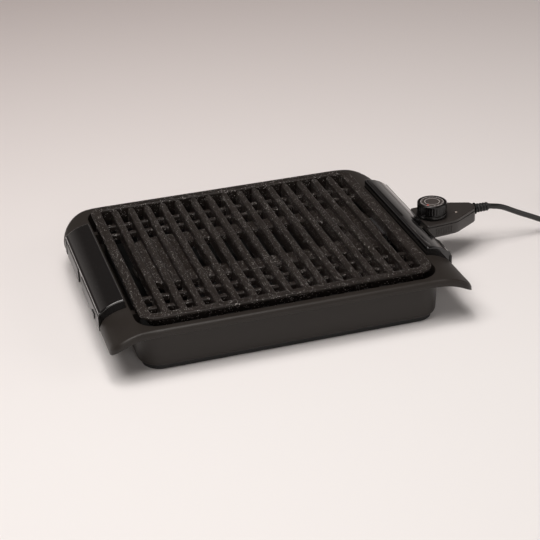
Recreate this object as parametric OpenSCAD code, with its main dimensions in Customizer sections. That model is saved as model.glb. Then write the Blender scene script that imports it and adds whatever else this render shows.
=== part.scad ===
// Electric indoor grill: slotted cooking plate on a tub-shaped base with a plug-in heat controller.
// Millimetres, +Z up, front towards -Y, controller on the +X side.
// The origin is the middle of the base footprint, on the table.

/* [Cooking plate] */
// Height of the cooking surface above the table
top_z = 66; // [60:1:84]
// Width of the cooking plate, left to right
plate_w = 356; // [300:2:430]
// Depth of the cooking plate, front to back
plate_d = 318; // [254:2:382]
// Number of cooking bars
bar_n = 15; // [9:2:19]
// Distance from bar to bar
bar_pitch = 21; // [17:0.5:24]
// Width of a bar at the top
bar_w = 9; // [6:0.5:11]
// Width of the plate's rim
rim_w = 13; // [9:0.5:18]
// Corner radius of the plate
plate_r = 20; // [14:1:30]
// Depth of the cross ribs and the heater bed below the bar tops
rib_drop = 9; // [7:0.5:12]

/* [Base] */
// Wall thickness of the base tub
wall = 3; // [2:0.5:4]
// Gap between plate and tub at the left and right
side_gap = 5; // [3:0.5:10]
// Gap between plate and tub at the front and back
end_gap = 7; // [4:0.5:12]
// How far the base rim lies below the cooking surface
rim_drop = 7; // [5:0.5:10]
// Reach of the ears beyond the tub wall
ear_reach = 33; // [28:1:48]
// Overhang of the rim beyond the front and back walls
lip_reach = 8; // [6:0.5:14]
// Height of the turned-down lip
lip_h = 9; // [6:0.5:12]
// How much the tub walls lean in towards the table
draft = 2.5; // [0:0.5:5]
// Height of the dark plinth under the tub
plinth_h = 6; // [4:0.5:10]

/* [Handles] */
// Length of the glossy handle covers
cover_l = 218; // [160:2:240]
// How far a cover stands proud of the base rim at its inner edge
cover_rise = 10; // [5:0.5:12]
// Length of the opening in the right cover
notch_l = 60; // [40:2:70]
// Distance of that opening's middle in front of the controller's line
notch_off = 44; // [40:1:52]

/* [Drip tray] */
// Height of the drip tray
tray_h = 20; // [14:1:24]

/* [Controller] */
// Length of the controller housing
ctl_l = 81; // [74:0.5:96]
// Width of the controller housing
ctl_w = 59; // [52:1:68]
// Height of the controller housing
ctl_h = 20; // [18:0.5:24]
// Diameter of the temperature knob
knob_d = 38; // [30:0.5:44]
// Height of the temperature knob
knob_h = 18; // [12:0.5:22]

/* [Cord] */
// Diameter of the power cord
cord_d = 7.2; // [6:0.1:7.6]

/* [Hidden] */

$fn = 64;
e = 0.01;
fit = 0.3;

// Heights
rim_z = top_z - rim_drop;
floor_z = plinth_h;
floor_t = 3;
skirt_z = rim_z - 7;
lip_z = top_z - 6;
bed_z = top_z - rib_drop;
bed_t = 9;
heat_r = 4;
pin_z = bed_z - bed_t - heat_r;

// Plan sizes, measured from the middle
in_x = plate_w / 2 + side_gap;
in_y = plate_d / 2 + end_gap;
tub_x = in_x + wall;
tub_y = in_y + wall;
tub_r = 30;
ear_x = tub_x + ear_reach;
lip_y = tub_y + lip_reach;
ear_r = 55;
tip_r = 13;
ear_out = 3;
nick_r = 8;
tub_foot = 5;
flange_t = 3;
ledge_w = 11.5;
ledge_y = cover_l * 0.51;

// The rim's top runs level across the middle and bends down over the ears on this radius
arch_r = 57;
arch_x = tub_x - 6;
arch_z = rim_z - arch_r;

// Handle covers: a cylinder vault, its crown near the inner edge
cover_x0 = tub_x + 1;
cover_x1 = ear_x - 0.5;
cover_r = 49;
cover_cx = cover_x0 - 2.3;
cover_cz = rim_z + cover_rise - cover_r;
cover_t = 2.5;
cover_end = 4;
cover_edge = cover_cz + sqrt(pow(cover_r, 2) - pow(cover_x1 - cover_cx, 2));
seat_l = cover_l + 2 * fit;
grip_t = 3;
grip_w = 2.6;
grip_z0 = rim_z - 25;
grip_z1 = cover_edge - 3;
screw_x = cover_x0 + 14;
screw_y = cover_l * 0.4;

// Terminal pins, nose and the way in for them
pin_r = 2.1;
pin_y = 13;
pin_clear = 0.05;
rod_r = 3.2;
term_x = in_x - 23;
pin_tip = in_x - 1;
nose_x = term_x + 6;
nose_w = 40;
nose_z0 = pin_z - 6;
nose_z1 = pin_z + 5.4;
rod_tip = term_x - 32;
guard_t = 1.2;
guard_w = nose_w + 8.4;
guard_z1 = skirt_z + 1.5;
port_w = nose_w + 5;

// Controller housing
ctl_x0 = ear_x + 0.9;
ctl_x1 = ctl_x0 + ctl_l;
ctl_z0 = pin_z - 7.5;
ctl_z1 = ctl_z0 + ctl_h;
ctl_split = ctl_z1 - 4.5;
ctl_t = 2;
ctl_crown = 300;
ctl_skew = 0.1;
ctl_bend = 25;
ctl_taper = 28.5;
ctl_turn = ctl_x0 + 36.5;
ctl_end_r = 12;
knob_x = ctl_x0 + 18.5;
lens_x = ctl_x0 + 50.5;
lens_y = -4;
lens_r = 1.5;
relief_z = ctl_z1 - 6;
relief_y = ctl_skew * ctl_l;
relief_x = ctl_x1 + 21;

// Drip tray, notched round the nose and the sensor
tray_x = tub_x - draft - wall - 15;
tray_y = tub_y - draft - wall - 11;
tray_z = floor_z + floor_t + 2;
tray_t = 1.2;
tray_cut = rod_tip - 10;
tray_cut_w = guard_w + 7;

// Free cord: points chosen by hand, then rounded through
cord_r = cord_d / 2;
lay_z = cord_r + 1.3;
coil_x = relief_x + 186;
coil_y = 60;
coil_mean = 40;
coil_step = cord_d + 0.55;
coil_turns = 3;
coil_out = coil_mean + coil_step * coil_turns / 2;
coil_in = coil_mean - coil_step * coil_turns / 2;
cord_route = [[relief_x, relief_y, relief_z], [relief_x + 18, relief_y - 1.5, relief_z - 3.6],
  [relief_x + 40, relief_y - 2, relief_z - 14.5], [relief_x + 62, relief_y - 2, relief_z - 25],
  [relief_x + 82, 6, relief_z - 34.5], [relief_x + 103, 6, relief_z - 41.5],
  [relief_x + 124, 7, lay_z + 1], [relief_x + 150, coil_y - coil_out, lay_z],
  [coil_x, coil_y - coil_out, lay_z]];
lead_route = [[coil_x + 22, coil_y - coil_out - 1, lay_z + coil_step],
  [coil_x + 44, coil_y - coil_out - 4, 11], [coil_x + 64, coil_y - coil_out - 8, 9.5],
  [coil_x + 80, coil_y - coil_out - 12, 9]];
plug_at = lead_route[3];
plug_turn = -14;

// Points of an arc from angle a0 to a1
function arc(cx, cy, r, a0, a1, n) = [for (i = [0 : n])
  let (a = a0 + (a1 - a0) * i / n) [cx + r * cos(a), cy + r * sin(a)]];
// The same line mirrored in the x axis, in the other order
function flip(p) = [for (i = [len(p) - 1 : -1 : 0]) [p[i][0], -p[i][1]]];
// Outer face of the tub's side wall at height z
function wall_x(z) = tub_x - draft * (rim_z - z) / (rim_z - floor_z);

// Draws a cross-section all the way round a rounded rectangle.
// In the section x is the distance outwards from the line and y is the height.
module ring_sweep(hx, hy, r) {
  for (q = [0 : 3]) {
    lx = q % 2 == 0 ? hx : hy;
    ly = q % 2 == 0 ? hy : hx;
    rotate([0, 0, 90 * q]) {
      translate([-(lx - r), ly, 0])
        rotate([90, 0, 90])
          linear_extrude(2 * (lx - r))
            children();
      translate([lx - r, ly - r, 0])
        rotate_extrude(angle = 90)
          translate([r, 0])
            children();
    }
  }
}

module rounded(hx, hy, r) {
  translate([-hx, -(hy - r)])
    square([2 * hx, 2 * (hy - r)]);
  translate([-(hx - r), -hy])
    square([2 * (hx - r), 2 * hy]);
  for (sx = [-1, 1], sy = [-1, 1])
    translate([sx * (hx - r), sy * (hy - r)])
      circle(r);
}

// Pushes a front-view section along the depth, from y0 to y1
module along_y(y0, y1) {
  translate([0, y1, 0])
    rotate([90, 0, 0])
      linear_extrude(y1 - y0)
        children();
}

// A box between two corners
module block(a, b) {
  translate(a)
    cube(b - a);
}

// Everything under the rim's bent top surface, lowered by d
module under_arch(d) {
  intersection() {
    union() {
      translate([-arch_x, 0])
        square([2 * arch_x, rim_z - d]);
      for (s = [-1, 1])
        translate([s * arch_x, arch_z])
          circle(arch_r - d, $fn = 180);
    }
    translate([-ear_x - 5, 20])
      square([2 * ear_x + 10, rim_z]);
  }
}

module arch_band(d0, d1) {
  along_y(-lip_y - 20, lip_y + 20)
    difference() {
      under_arch(d0);
      under_arch(d1);
    }
}

// Outline of the base rim from above, moved in by d: round back corners, horned front ears
module rim_outline(d) {
  tip_x = ear_x - tip_r;
  tip_y = lip_y + ear_out - tip_r;
  swell = [for (i = [0 : 8]) [tub_x - 20 + (tip_x - tub_x + 20) * i / 8,
    -(lip_y + ear_out * (1 - cos(22.5 * i)) / 2 - d)]];
  translate([-(ear_x - d), -tip_y])
    square([2 * (ear_x - d), tip_y + lip_y - ear_r]);
  translate([-(ear_x - ear_r), -(lip_y - d)])
    square([2 * (ear_x - ear_r), 2 * (lip_y - d)]);
  for (s = [-1, 1]) {
    translate([s * (ear_x - ear_r), lip_y - ear_r])
      circle(ear_r - d);
    translate([s * tip_x, -tip_y])
      circle(tip_r - d);
    scale([s, 1])
      polygon(concat([[ear_x - ear_r - 5, -tip_y + 1], [ear_x - ear_r - 5, -(lip_y - d)]],
        swell, [[tip_x, -tip_y + 1]]));
  }
}

// The opening the nose goes through, in the tub wall
module nose_port() {
  block([tub_x - 12, -port_w / 2, nose_z0 - 2], [tub_x + 6, port_w / 2, nose_z1 + 1.6]);
}

module base_housing() {
  color([0.20, 0.19, 0.18])
    difference() {
      union() {
        ring_sweep(tub_x, tub_y, tub_r)
          polygon(concat([[-wall, rim_z], [0, rim_z]],
            arc(-draft - tub_foot, floor_z + tub_foot, tub_foot, 0, -90, 5),
            [[-draft - tub_foot - 1, floor_z], [-draft - tub_foot - 1, floor_z + floor_t],
            [-draft - wall, floor_z + tub_foot]]));
        translate([0, 0, floor_z])
          linear_extrude(floor_t)
            rounded(tub_x - draft - tub_foot, tub_y - draft - tub_foot, tub_r - draft - tub_foot);
        difference() {
          union() {
            intersection() {
              arch_band(0, flange_t);
              linear_extrude(rim_z + 1)
                rim_outline(0);
            }
            intersection() {
              arch_band(0, lip_h);
              linear_extrude(rim_z + 1)
                difference() {
                  rim_outline(0);
                  rim_outline(flange_t);
                }
            }
          }
          linear_extrude(rim_z + 2)
            rounded(tub_x - 1, tub_y - 1, tub_r - 1);
          for (s = [-1, 1])
            scale([s, 1, 1])
              block([tub_x, -seat_l / 2, 20], [ear_x + 5, seat_l / 2, rim_z + 5]);
          for (sx = [-1, 1], sy = [-1, 1])
            scale([sx, sy, 1])
              translate([ear_x - nick_r, seat_l / 2 + nick_r, 20])
                linear_extrude(rim_z)
                  difference() {
                    translate([0, -nick_r - 1])
                      square(nick_r + 1);
                    circle(nick_r);
                  }
        }
        for (sx = [-1, 1], sy = [-1, 1])
          translate([0, sy * ledge_y, 0])
            scale([sx, 1, 1])
              along_y(-5, 5)
                polygon([[in_x + 1, 24], [in_x + 1, skirt_z], [in_x - ledge_w, skirt_z],
                  [in_x - ledge_w, skirt_z - 8]]);
        for (sx = [-1, 1], sy = [-1, 1])
          translate([sx * tray_x * 0.7, sy * tray_y * 0.7, floor_z + floor_t - e])
            cylinder(h = 2 + e, r = 7);
      }
      nose_port();
      for (p = plinth_screw_spots())
        translate([p[0], p[1], floor_z - e])
          cylinder(h = 2.2, r = 1.6);
    }
}

function foot_spots() = [for (sx = [-1, 1], sy = [-1, 1]) [sx * (tub_x - draft - 12.2), sy * tub_y * 0.7]];
function plinth_screw_spots() = [for (sx = [-1, 1], sy = [-1, 1]) [sx * (tub_x - 70), sy * (tub_y - 14)]];

// Ring under the tub that the grill stands on, with pockets for the pads
module base_plinth() {
  color([0.09, 0.09, 0.09])
    difference() {
      linear_extrude(floor_z)
        difference() {
          rounded(tub_x - draft - 5.5, tub_y - draft - 5.5, tub_r - 7.5);
          rounded(tub_x - draft - 19, tub_y - draft - 19, tub_r - 19);
        }
      for (p = plinth_screw_spots())
        translate([p[0], p[1], -1]) {
          cylinder(h = floor_z + 2, r = 1.6);
          cylinder(h = 3.4, r = 3.4);
        }
      for (p = foot_spots())
        translate([p[0], p[1], -1])
          cylinder(h = 3, r = 5.5);
    }
}

module plinth_screws() {
  color([0.62, 0.62, 0.64])
    for (p = plinth_screw_spots())
      translate([p[0], p[1], 0.8])
        difference() {
          union() {
            cylinder(h = 1.6, r = 3.1);
            cylinder(h = floor_z + 1.3, r = 1.6);
          }
          cross_slot(1);
        }
}

// Cross recess in the lower face of a screw head
module cross_slot(depth) {
  for (a = [0, 90])
    rotate([0, 0, a])
      translate([-1.7, -0.4, -e])
        cube([3.4, 0.8, depth]);
}

module foot_pads() {
  color([0.05, 0.05, 0.05])
    for (p = foot_spots())
      translate([p[0], p[1], 0])
        rotate_extrude()
          polygon([[0, 0], [5, 0], [5.5, 0.5], [5.5, 2], [0, 2]]);
}

// A handle cover's vault as a solid, moved in by d all round: a turned body with rounded ends,
// cut off straight at both sides
module cover_vault(d) {
  r = cover_r - d;
  end = cover_l / 2 - d;
  intersection() {
    translate([cover_cx, 0, cover_cz])
      rotate([90, 0, 0])
        rotate_extrude($fn = 180)
          polygon(concat([[0, -end]], arc(r - cover_end, -end + cover_end, cover_end, -90, 0, 5),
            arc(r - cover_end, end - cover_end, cover_end, 0, 90, 5), [[0, end]]));
    block([cover_x0 + d, -cover_l, rim_z - 25], [cover_x1 - d, cover_l, rim_z + 35]);
  }
}

// Handle cover on the +X side: a vaulted shell closed at both ends, with two screw bosses
module cover_shell() {
  difference() {
    union() {
      difference() {
        cover_vault(0);
        cover_vault(cover_t);
      }
      for (s = [-1, 1])
        translate([screw_x, s * screw_y, rim_z - 12])
          cylinder(h = cover_rise + 7.7, r = 4);
    }
    along_y(-cover_l, cover_l)
      under_arch(flange_t + fit);
    block([cover_x1 - cover_t - fit, -cover_l, 0], [ear_x + 5, cover_l, grip_z1 + fit]);
    for (s = [-1, 1])
      translate([screw_x, s * screw_y, rim_z - 14])
        cylinder(h = 14, r = 1.5);
  }
}

module left_handle_cover() {
  color([0.06, 0.055, 0.055])
    mirror([1, 0, 0])
      cover_shell();
}

module right_handle_cover() {
  color([0.06, 0.055, 0.055])
    difference() {
      cover_shell();
      block([cover_x0 + 17, -notch_off - notch_l / 2, rim_z - 30],
        [ear_x + 5, -notch_off + notch_l / 2, top_z + 5]);
    }
}

// Handle grip on the +X side: mounting wall, web under the cover, outer skirt
module grip_body() {
  difference() {
    union() {
      difference() {
        along_y(-seat_l / 2, seat_l / 2)
          intersection() {
            difference() {
              under_arch(flange_t + fit + pin_clear);
              under_arch(flange_t + fit + grip_t);
            }
            translate([tub_x - 1, 20])
              square([ear_x - tub_x + 1.5, 60]);
          }
        along_y(-seat_l, seat_l)
          polygon([[0, 0], [wall_x(0), 0], [wall_x(rim_z + 5), rim_z + 5], [0, rim_z + 5]]);
      }
      along_y(-seat_l / 2, seat_l / 2)
        polygon([[wall_x(rim_z - 22), rim_z - 22], [tub_x + 3, rim_z - 22],
          [tub_x + 3, rim_z - 5], [wall_x(rim_z - 5), rim_z - 5]]);
      along_y(-cover_l / 2, cover_l / 2)
        polygon([[ear_x - grip_w, grip_z0], [ear_x, grip_z0], [ear_x + 0.5, grip_z0 + 1],
          [ear_x + 0.5, grip_z1 - 1], [ear_x, grip_z1], [ear_x - grip_w, grip_z1]]);
      for (y = [-75 : 25 : 75])
        translate([0, y, 0])
          along_y(-1, 1)
            polygon([[tub_x + 2, rim_z - 20], [tub_x + 2, rim_z - 6.5], [tub_x + 16, rim_z - 8]]);
    }
    for (s = [-1, 1])
      translate([screw_x, s * screw_y, 20])
        cylinder(h = 50, r = 1.6);
    block([ear_x - 0.9, -2, 0], [ear_x + 5, 20, rim_z]);
    block([ear_x - 0.9, cover_l * 0.43, 0], [ear_x + 5, cover_l * 0.46, rim_z]);
  }
  block([ear_x + 0.4, -85, rim_z - 21], [ear_x + 1.6, -72, rim_z - 15]);
}

module left_handle_grip() {
  color([0.15, 0.145, 0.14])
    mirror([1, 0, 0])
      grip_body();
}

module right_handle_grip() {
  color([0.15, 0.145, 0.14])
    difference() {
      grip_body();
      block([tub_x - 5, -port_w / 2, nose_z0 - 2], [ear_x + 5, port_w / 2, nose_z1 + 0.5]);
      block([tub_x + 9, -port_w / 2, nose_z0 - 2], [ear_x + 5, port_w / 2, rim_z]);
    }
}

module handle_screws() {
  color([0.62, 0.62, 0.64])
    for (sx = [-1, 1], sy = [-1, 1])
      translate([sx * screw_x, sy * screw_y, grip_under() - 2])
        difference() {
          union() {
            cylinder(h = 2, r = 3);
            cylinder(h = 12, r = 1.5);
          }
          cross_slot(1);
        }
}

// Height of the web's underside at the handle screws
function grip_under() = arch_z
  + sqrt(pow(arch_r - flange_t - fit - grip_t, 2) - pow(screw_x + 3 - arch_x, 2));

module tray_outline(d) {
  difference() {
    rounded(tray_x - d, tray_y - d, 22 - d);
    translate([tray_cut - d, -tray_cut_w / 2 - d])
      square([100, tray_cut_w + 2 * d]);
  }
}

module drip_tray() {
  color([0.55, 0.55, 0.56])
    difference() {
      union() {
        translate([0, 0, tray_z])
          linear_extrude(tray_h)
            tray_outline(0);
        translate([0, 0, tray_z + tray_h - tray_t])
          linear_extrude(tray_t)
            tray_outline(-3.5);
      }
      translate([0, 0, tray_z + tray_t])
        linear_extrude(tray_h)
          tray_outline(tray_t);
      for (s = [-1, 1])
        scale([1, s, 1])
          for (x = [-120 : 60 : 60])
            translate([x, 0, tray_z + tray_t - 0.4])
              block([-2, 30, 0], [2, tray_y - 25, 2]);
    }
}

// Section of the plate's rim: an upturned channel with a rounded outer edge
module rim_section() {
  polygon(concat(
    [[-4.2, lip_z], [-0.6, lip_z]],
    arc(-3, top_z - 3, 3, 0, 90, 6),
    arc(-rim_w + 1.5, top_z - 1.5, 1.5, 90, 180, 4),
    [[-rim_w, bed_z - bed_t + 2], [-rim_w + 3, bed_z - bed_t + 2],
      [-rim_w + 3, top_z - 5], [-4.2, top_z - 5]]));
}

// Half of a bar's section, from its middle line
module bar_half() {
  polygon(concat([[0, bed_z - bed_t]], [[bar_w / 2 + 1, bed_z - bed_t]],
    arc(bar_w / 2 - 2.5, top_z - 2.5, 2.5, 0, 90, 5), [[0, top_z]]));
}

module cooking_bar() {
  back = plate_d / 2 - rim_w - 3 - bar_w / 2 - 1;
  along_y(-plate_d / 2 + rim_w - 4, back) {
    bar_half();
    mirror([1, 0])
      bar_half();
  }
  translate([0, back, 0])
    rotate_extrude(angle = 180)
      bar_half();
}

// Bed that carries the heater: a rounded plate with a long hole, chamfered towards the terminals
module bed_outline() {
  hole_y = heat_y() - heat_band() / 2;
  hole = bar_pitch * 4 + 1.5;
  difference() {
    union() {
      rounded(bar_pitch * 7, heat_y() + heat_band() / 2, 28);
      translate([bar_pitch * 5, -heat_y() - heat_band() / 2])
        square([bar_pitch * 2 + 2, 2 * heat_y() + heat_band()]);
      translate([bar_pitch * 7, -34])
        square([term_x - bar_pitch * 7, 68]);
    }
    polygon([[-hole, -hole_y], [hole, -hole_y], [hole + bar_pitch, -hole_y * 0.6],
      [hole + bar_pitch * 1.6, -9], [hole + bar_pitch * 1.6, 9], [hole + bar_pitch, hole_y * 0.6],
      [hole, hole_y], [-hole, hole_y]]);
  }
}

function heat_y() = plate_d * 0.161;
function heat_band() = 27;

module grill_plate() {
  color([0.17, 0.155, 0.145])
    difference() {
      union() {
        ring_sweep(plate_w / 2, plate_d / 2, plate_r)
          rim_section();
        for (i = [-(bar_n - 1) / 2 : (bar_n - 1) / 2])
          translate([i * bar_pitch, 0, 0])
            cooking_bar();
        for (s = [-1, 1], y = rib_rows())
          translate([0, s * y, 0])
            rotate([90, 0, 90])
              translate([0, 0, -plate_w / 2 + rim_w - 2])
                linear_extrude(plate_w - 2 * rim_w + 4)
                  polygon(concat([[-4, bed_z - bed_t + 2], [4, bed_z - bed_t + 2]],
                    arc(1.5, bed_z - 1.5, 1.5, 0, 90, 4), arc(-1.5, bed_z - 1.5, 1.5, 90, 180, 4)));
        translate([0, 0, bed_z - bed_t])
          linear_extrude(bed_t)
            bed_outline();
        block([rod_tip - 6, -7, pin_z - 3.5], [term_x - 2, 7, bed_z - bed_t + e]);
        for (sx = [-1, 1], sy = [-1, 1])
          scale([sx, sy, 1])
            block([plate_w / 2 - 4.2, ledge_y - 4, skirt_z], [plate_w / 2 - 1.2, ledge_y + 4, top_z - 4]);
      }
      block([rod_tip - 7, -rod_r - 0.5, 0], [term_x + 10, rod_r + 0.5, pin_z + rod_r + 0.5]);
      block([term_x, -guard_w / 2 - 2, 0], [plate_w, guard_w / 2 + 2, guard_z1]);
      clip_screw_shafts(1.2);
      guard_screw_shafts(1.5);
    }
}

function rib_rows() = [plate_d * 0.283, plate_d * 0.365];

// Line of the heater: two long legs, a half-turn at the left, an S-bend to each terminal
module heater_line() {
  y = heat_y();
  turn = bar_pitch * 5 - 5;
  bend_x = term_x - 45;
  b1 = 20;
  b2 = y - b1 - pin_y;
  translate([-turn, 0, 0])
    rotate([0, 0, 90])
      rotate_extrude(angle = 180)
        translate([y, 0])
          circle(heat_r);
  for (s = [-1, 1])
    scale([1, s, 1]) {
      translate([-turn, y, 0])
        rotate([0, 90, 0])
          cylinder(h = bend_x + turn, r = heat_r);
      translate([bend_x, y - b1, 0])
        rotate_extrude(angle = 90)
          translate([b1, 0])
            circle(heat_r);
      translate([bend_x + b1 + b2, y - b1, 0])
        rotate([0, 0, 180])
          rotate_extrude(angle = 90)
            translate([b2, 0])
              circle(heat_r);
      translate([bend_x + b1 + b2, pin_y, 0])
        rotate([0, 90, 0])
          cylinder(h = term_x - 4 - bend_x - b1 - b2, r = heat_r);
    }
}

module heating_element() {
  color([0.33, 0.31, 0.30])
    translate([0, 0, pin_z])
      heater_line();
}

module element_clips() {
  color([0.62, 0.62, 0.64])
    difference() {
      clip_straps();
      clip_screw_shafts(1.2);
    }
}

module clip_straps() {
  for (x = [-bar_pitch * 3, bar_pitch * 2.5], s = [-1, 1])
    translate([x - 4, s * heat_y(), pin_z])
      rotate([90, 0, 90])
        linear_extrude(8)
          difference() {
            union() {
              circle(heat_r + 1);
              translate([-heat_r - 1, 0])
                square([2 * heat_r + 2, heat_r]);
              translate([-heat_r - 8, heat_r - 1])
                square([2 * heat_r + 16, 1]);
            }
            circle(heat_r + pin_clear);
            translate([-heat_r - pin_clear, 0])
              square([2 * heat_r + 2 * pin_clear, heat_r + 1]);
          }
}

module clip_screw_shafts(r) {
  for (x = [-bar_pitch * 3, bar_pitch * 2.5], s = [-1, 1], t = [-1, 1])
    translate([x, s * heat_y() + t * (heat_r + 4.5), pin_z + heat_r - 1 - e])
      cylinder(h = 6, r = r);
}

module clip_screws() {
  color([0.50, 0.50, 0.52]) {
    clip_screw_shafts(1.2);
    for (x = [-bar_pitch * 3, bar_pitch * 2.5], s = [-1, 1], t = [-1, 1])
      translate([x, s * heat_y() + t * (heat_r + 4.5), pin_z + heat_r - 2.8])
        cylinder(h = 1.8, r = 2.4);
  }
}

module terminal_pins() {
  color([0.75, 0.75, 0.77])
    for (s = [-1, 1])
      translate([term_x - 4, s * pin_y, pin_z])
        rotate([0, 90, 0]) {
          cylinder(h = pin_tip - 1 - term_x + 4, r = pin_r);
          translate([0, 0, pin_tip - 1 - term_x + 4 - e])
            cylinder(h = 1, r1 = pin_r, r2 = pin_r - 0.8);
        }
}

module pin_insulators() {
  color([0.90, 0.88, 0.82])
    for (s = [-1, 1])
      translate([term_x - 4, s * pin_y, pin_z])
        rotate([0, 90, 0])
          difference() {
            cylinder(h = 8, r = 3.6);
            translate([0, 0, -1])
              cylinder(h = 10, r = pin_r);
          }
}

// Steel hood over the terminals, open below so that the plate lifts off the nose
module terminal_guard() {
  color([0.66, 0.66, 0.68])
    difference() {
      block([term_x, -guard_w / 2, nose_z0 - 1], [in_x - 2, guard_w / 2, guard_z1]);
      block([term_x + guard_t, -guard_w / 2 + guard_t, 0],
        [in_x, guard_w / 2 - guard_t, guard_z1 - guard_t]);
      for (s = [-1, 1])
        translate([term_x - 5, s * pin_y, pin_z])
          rotate([0, 90, 0])
            cylinder(h = 10, r = 3.6);
      block([term_x - 5, -rod_r - 0.5, 0], [term_x + 5, rod_r + 0.5, pin_z + rod_r + 0.5]);
      guard_screw_shafts(1.5);
    }
}

module guard_screw_shafts(r) {
  for (s = [-1, 1])
    translate([term_x - 8, s * (guard_w / 2 - 4), bed_z - bed_t + 2.4])
      rotate([0, 90, 0])
        cylinder(h = 8 + guard_t, r = r);
}

module guard_screws() {
  color([0.50, 0.50, 0.52]) {
    guard_screw_shafts(1.5);
    for (s = [-1, 1])
      translate([term_x + guard_t, s * (guard_w / 2 - 4), bed_z - bed_t + 2.4])
        rotate([0, 90, 0])
          cylinder(h = 1.6, r = 1.85);
  }
}

// Controller from above, moved in by d: straight sides, a bend, a straight taper and a round cord end.
// Its line leans towards the back by ctl_skew, as the housing's grip does.
ctl_end_y = (ctl_turn * sin(ctl_taper) + (ctl_w / 2 - ctl_bend) * cos(ctl_taper) + ctl_bend - ctl_end_r
  - (ctl_x1 - ctl_end_r) * sin(ctl_taper)) / cos(ctl_taper);
function ctl_side(d) = concat([[ctl_x0 + d, ctl_w / 2 - d]],
  arc(ctl_turn, ctl_w / 2 - ctl_bend, ctl_bend - d, 90, 90 - ctl_taper, 4),
  arc(ctl_x1 - ctl_end_r, ctl_end_y, ctl_end_r - d, 90 - ctl_taper, 0, 5));
function leaned(x, y) = [x, y + ctl_skew * (x - ctl_x0)];
function ctl_points(d) = [for (p = concat(ctl_side(d), flip(ctl_side(d)))) leaned(p[0], p[1])];

module ctl_plan(d) {
  polygon(ctl_points(d));
}

module controller_lower_shell() {
  color([0.10, 0.095, 0.09])
    difference() {
      union() {
        translate([0, 0, ctl_z0 + 1])
          linear_extrude(ctl_split - ctl_z0 - 1)
            ctl_plan(0);
        translate([0, 0, ctl_z0])
          linear_extrude(1 + e)
            ctl_plan(1);
        for (i = [0 : 9], s = [-1, 1])
          translate(concat(leaned(ctl_x0 + 14 + i * 2.4, s * ctl_w / 2), [(ctl_z0 + ctl_split) / 2]))
            cube([1.2, 1.2, 10], center = true);
      }
      translate([0, 0, ctl_z0 + ctl_t])
        linear_extrude(ctl_h)
          ctl_plan(ctl_t);
      nose_cut();
      relief_cut();
      for (p = shell_screw_spots())
        translate([p[0], p[1], ctl_z0 - 1]) {
          cylinder(h = 8, r = 1.4);
          cylinder(h = 2.4, r = 2.4);
        }
    }
}

function shell_screw_spots() = [leaned(ctl_x0 + 6, ctl_w / 2 - 3.5), leaned(ctl_x0 + 6, -ctl_w / 2 + 3.5),
  leaned(ctl_x1 - 15, 0)];

// Way out for the nose in the housing's inner end
module nose_cut() {
  block([ctl_x0 - 5, -nose_w / 2, nose_z0], [ctl_x0 + 2.4, nose_w / 2, nose_z1]);
}

module relief_cut() {
  translate([ctl_x1 - 4, relief_y, relief_z])
    rotate([0, 90, 0])
      cylinder(h = 6, r = 3.8);
}

module controller_upper_shell() {
  color([0.10, 0.095, 0.09])
    difference() {
      union() {
        difference() {
          intersection() {
            translate([0, 0, ctl_split])
              linear_extrude(ctl_z1 - ctl_split)
                ctl_plan(0.4);
            translate([ctl_x0 - 5, 0, ctl_z1 - ctl_crown])
              rotate([0, 90, 0])
                cylinder(h = ctl_l + 10, r = ctl_crown, $fn = 720);
          }
          translate([0, 0, ctl_split - 1])
            linear_extrude(ctl_z1 - ctl_split - 1.5)
              ctl_plan(ctl_t + 0.4);
        }
        intersection() {
          for (p = shell_screw_spots())
            translate([p[0], p[1], ctl_z0 + 3])
              cylinder(h = ctl_h - 5.5, r = 3);
          linear_extrude(ctl_z1)
            ctl_plan(ctl_t + pin_clear);
        }
        translate([knob_x, 0, ctl_z1 - 5])
          cylinder(h = 4, r = 6);
      }
      translate([knob_x, 0, ctl_z1 - 10])
        cylinder(h = 20, r = 3.05);
      translate([lens_x, lens_y, ctl_z1 - 10])
        cylinder(h = 20, r = lens_r);
      relief_cut();
      for (p = shell_screw_spots())
        translate([p[0], p[1], ctl_z0])
          cylinder(h = 12, r = 1.4);
    }
}

module shell_screws() {
  color([0.50, 0.50, 0.52])
    for (p = shell_screw_spots())
      translate([p[0], p[1], ctl_z0 - 0.4])
        difference() {
          union() {
            cylinder(h = 1.8, r = 2.3);
            cylinder(h = 11, r = 1.4);
          }
          cross_slot(0.9);
        }
}

// Heat-proof nose: open slots over the contact forks, a bore for the sensor
module controller_nose() {
  color([0.13, 0.12, 0.11])
    difference() {
      union() {
        block([nose_x, -nose_w / 2, nose_z0], [ctl_x0 + 2.4, nose_w / 2, nose_z1]);
        block([ctl_x0 + 2.4, -nose_w / 2 - 1.2, ctl_z0 + ctl_t], [ctl_x0 + 5, nose_w / 2 + 1.2, nose_z1]);
      }
      for (s = [-1, 1]) {
        block([nose_x - 1, s * pin_y - 2.7, pin_z - 4], [pin_tip + 2, s * pin_y + 2.7, nose_z1 + 1]);
        translate([pin_tip, s * pin_y, pin_z - 3])
          rotate([0, 90, 0])
            cylinder(h = 60, r = 1.2);
      }
      translate([nose_x - 1, 0, pin_z])
        rotate([0, 90, 0])
          cylinder(h = 80, r = rod_r);
    }
}

// Sprung brass channels, open on top, that grip the terminal pins
module contact_forks() {
  color([0.78, 0.62, 0.30])
    for (s = [-1, 1])
      translate([0, s * pin_y, 0])
        difference() {
          block([nose_x + 2, -2.7, pin_z - 4], [pin_tip + 2, 2.7, pin_z + 4]);
          block([nose_x, -pin_r - pin_clear, pin_z - pin_r - 0.4],
            [pin_tip + 1, pin_r + pin_clear, pin_z + 10]);
        }
}

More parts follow.
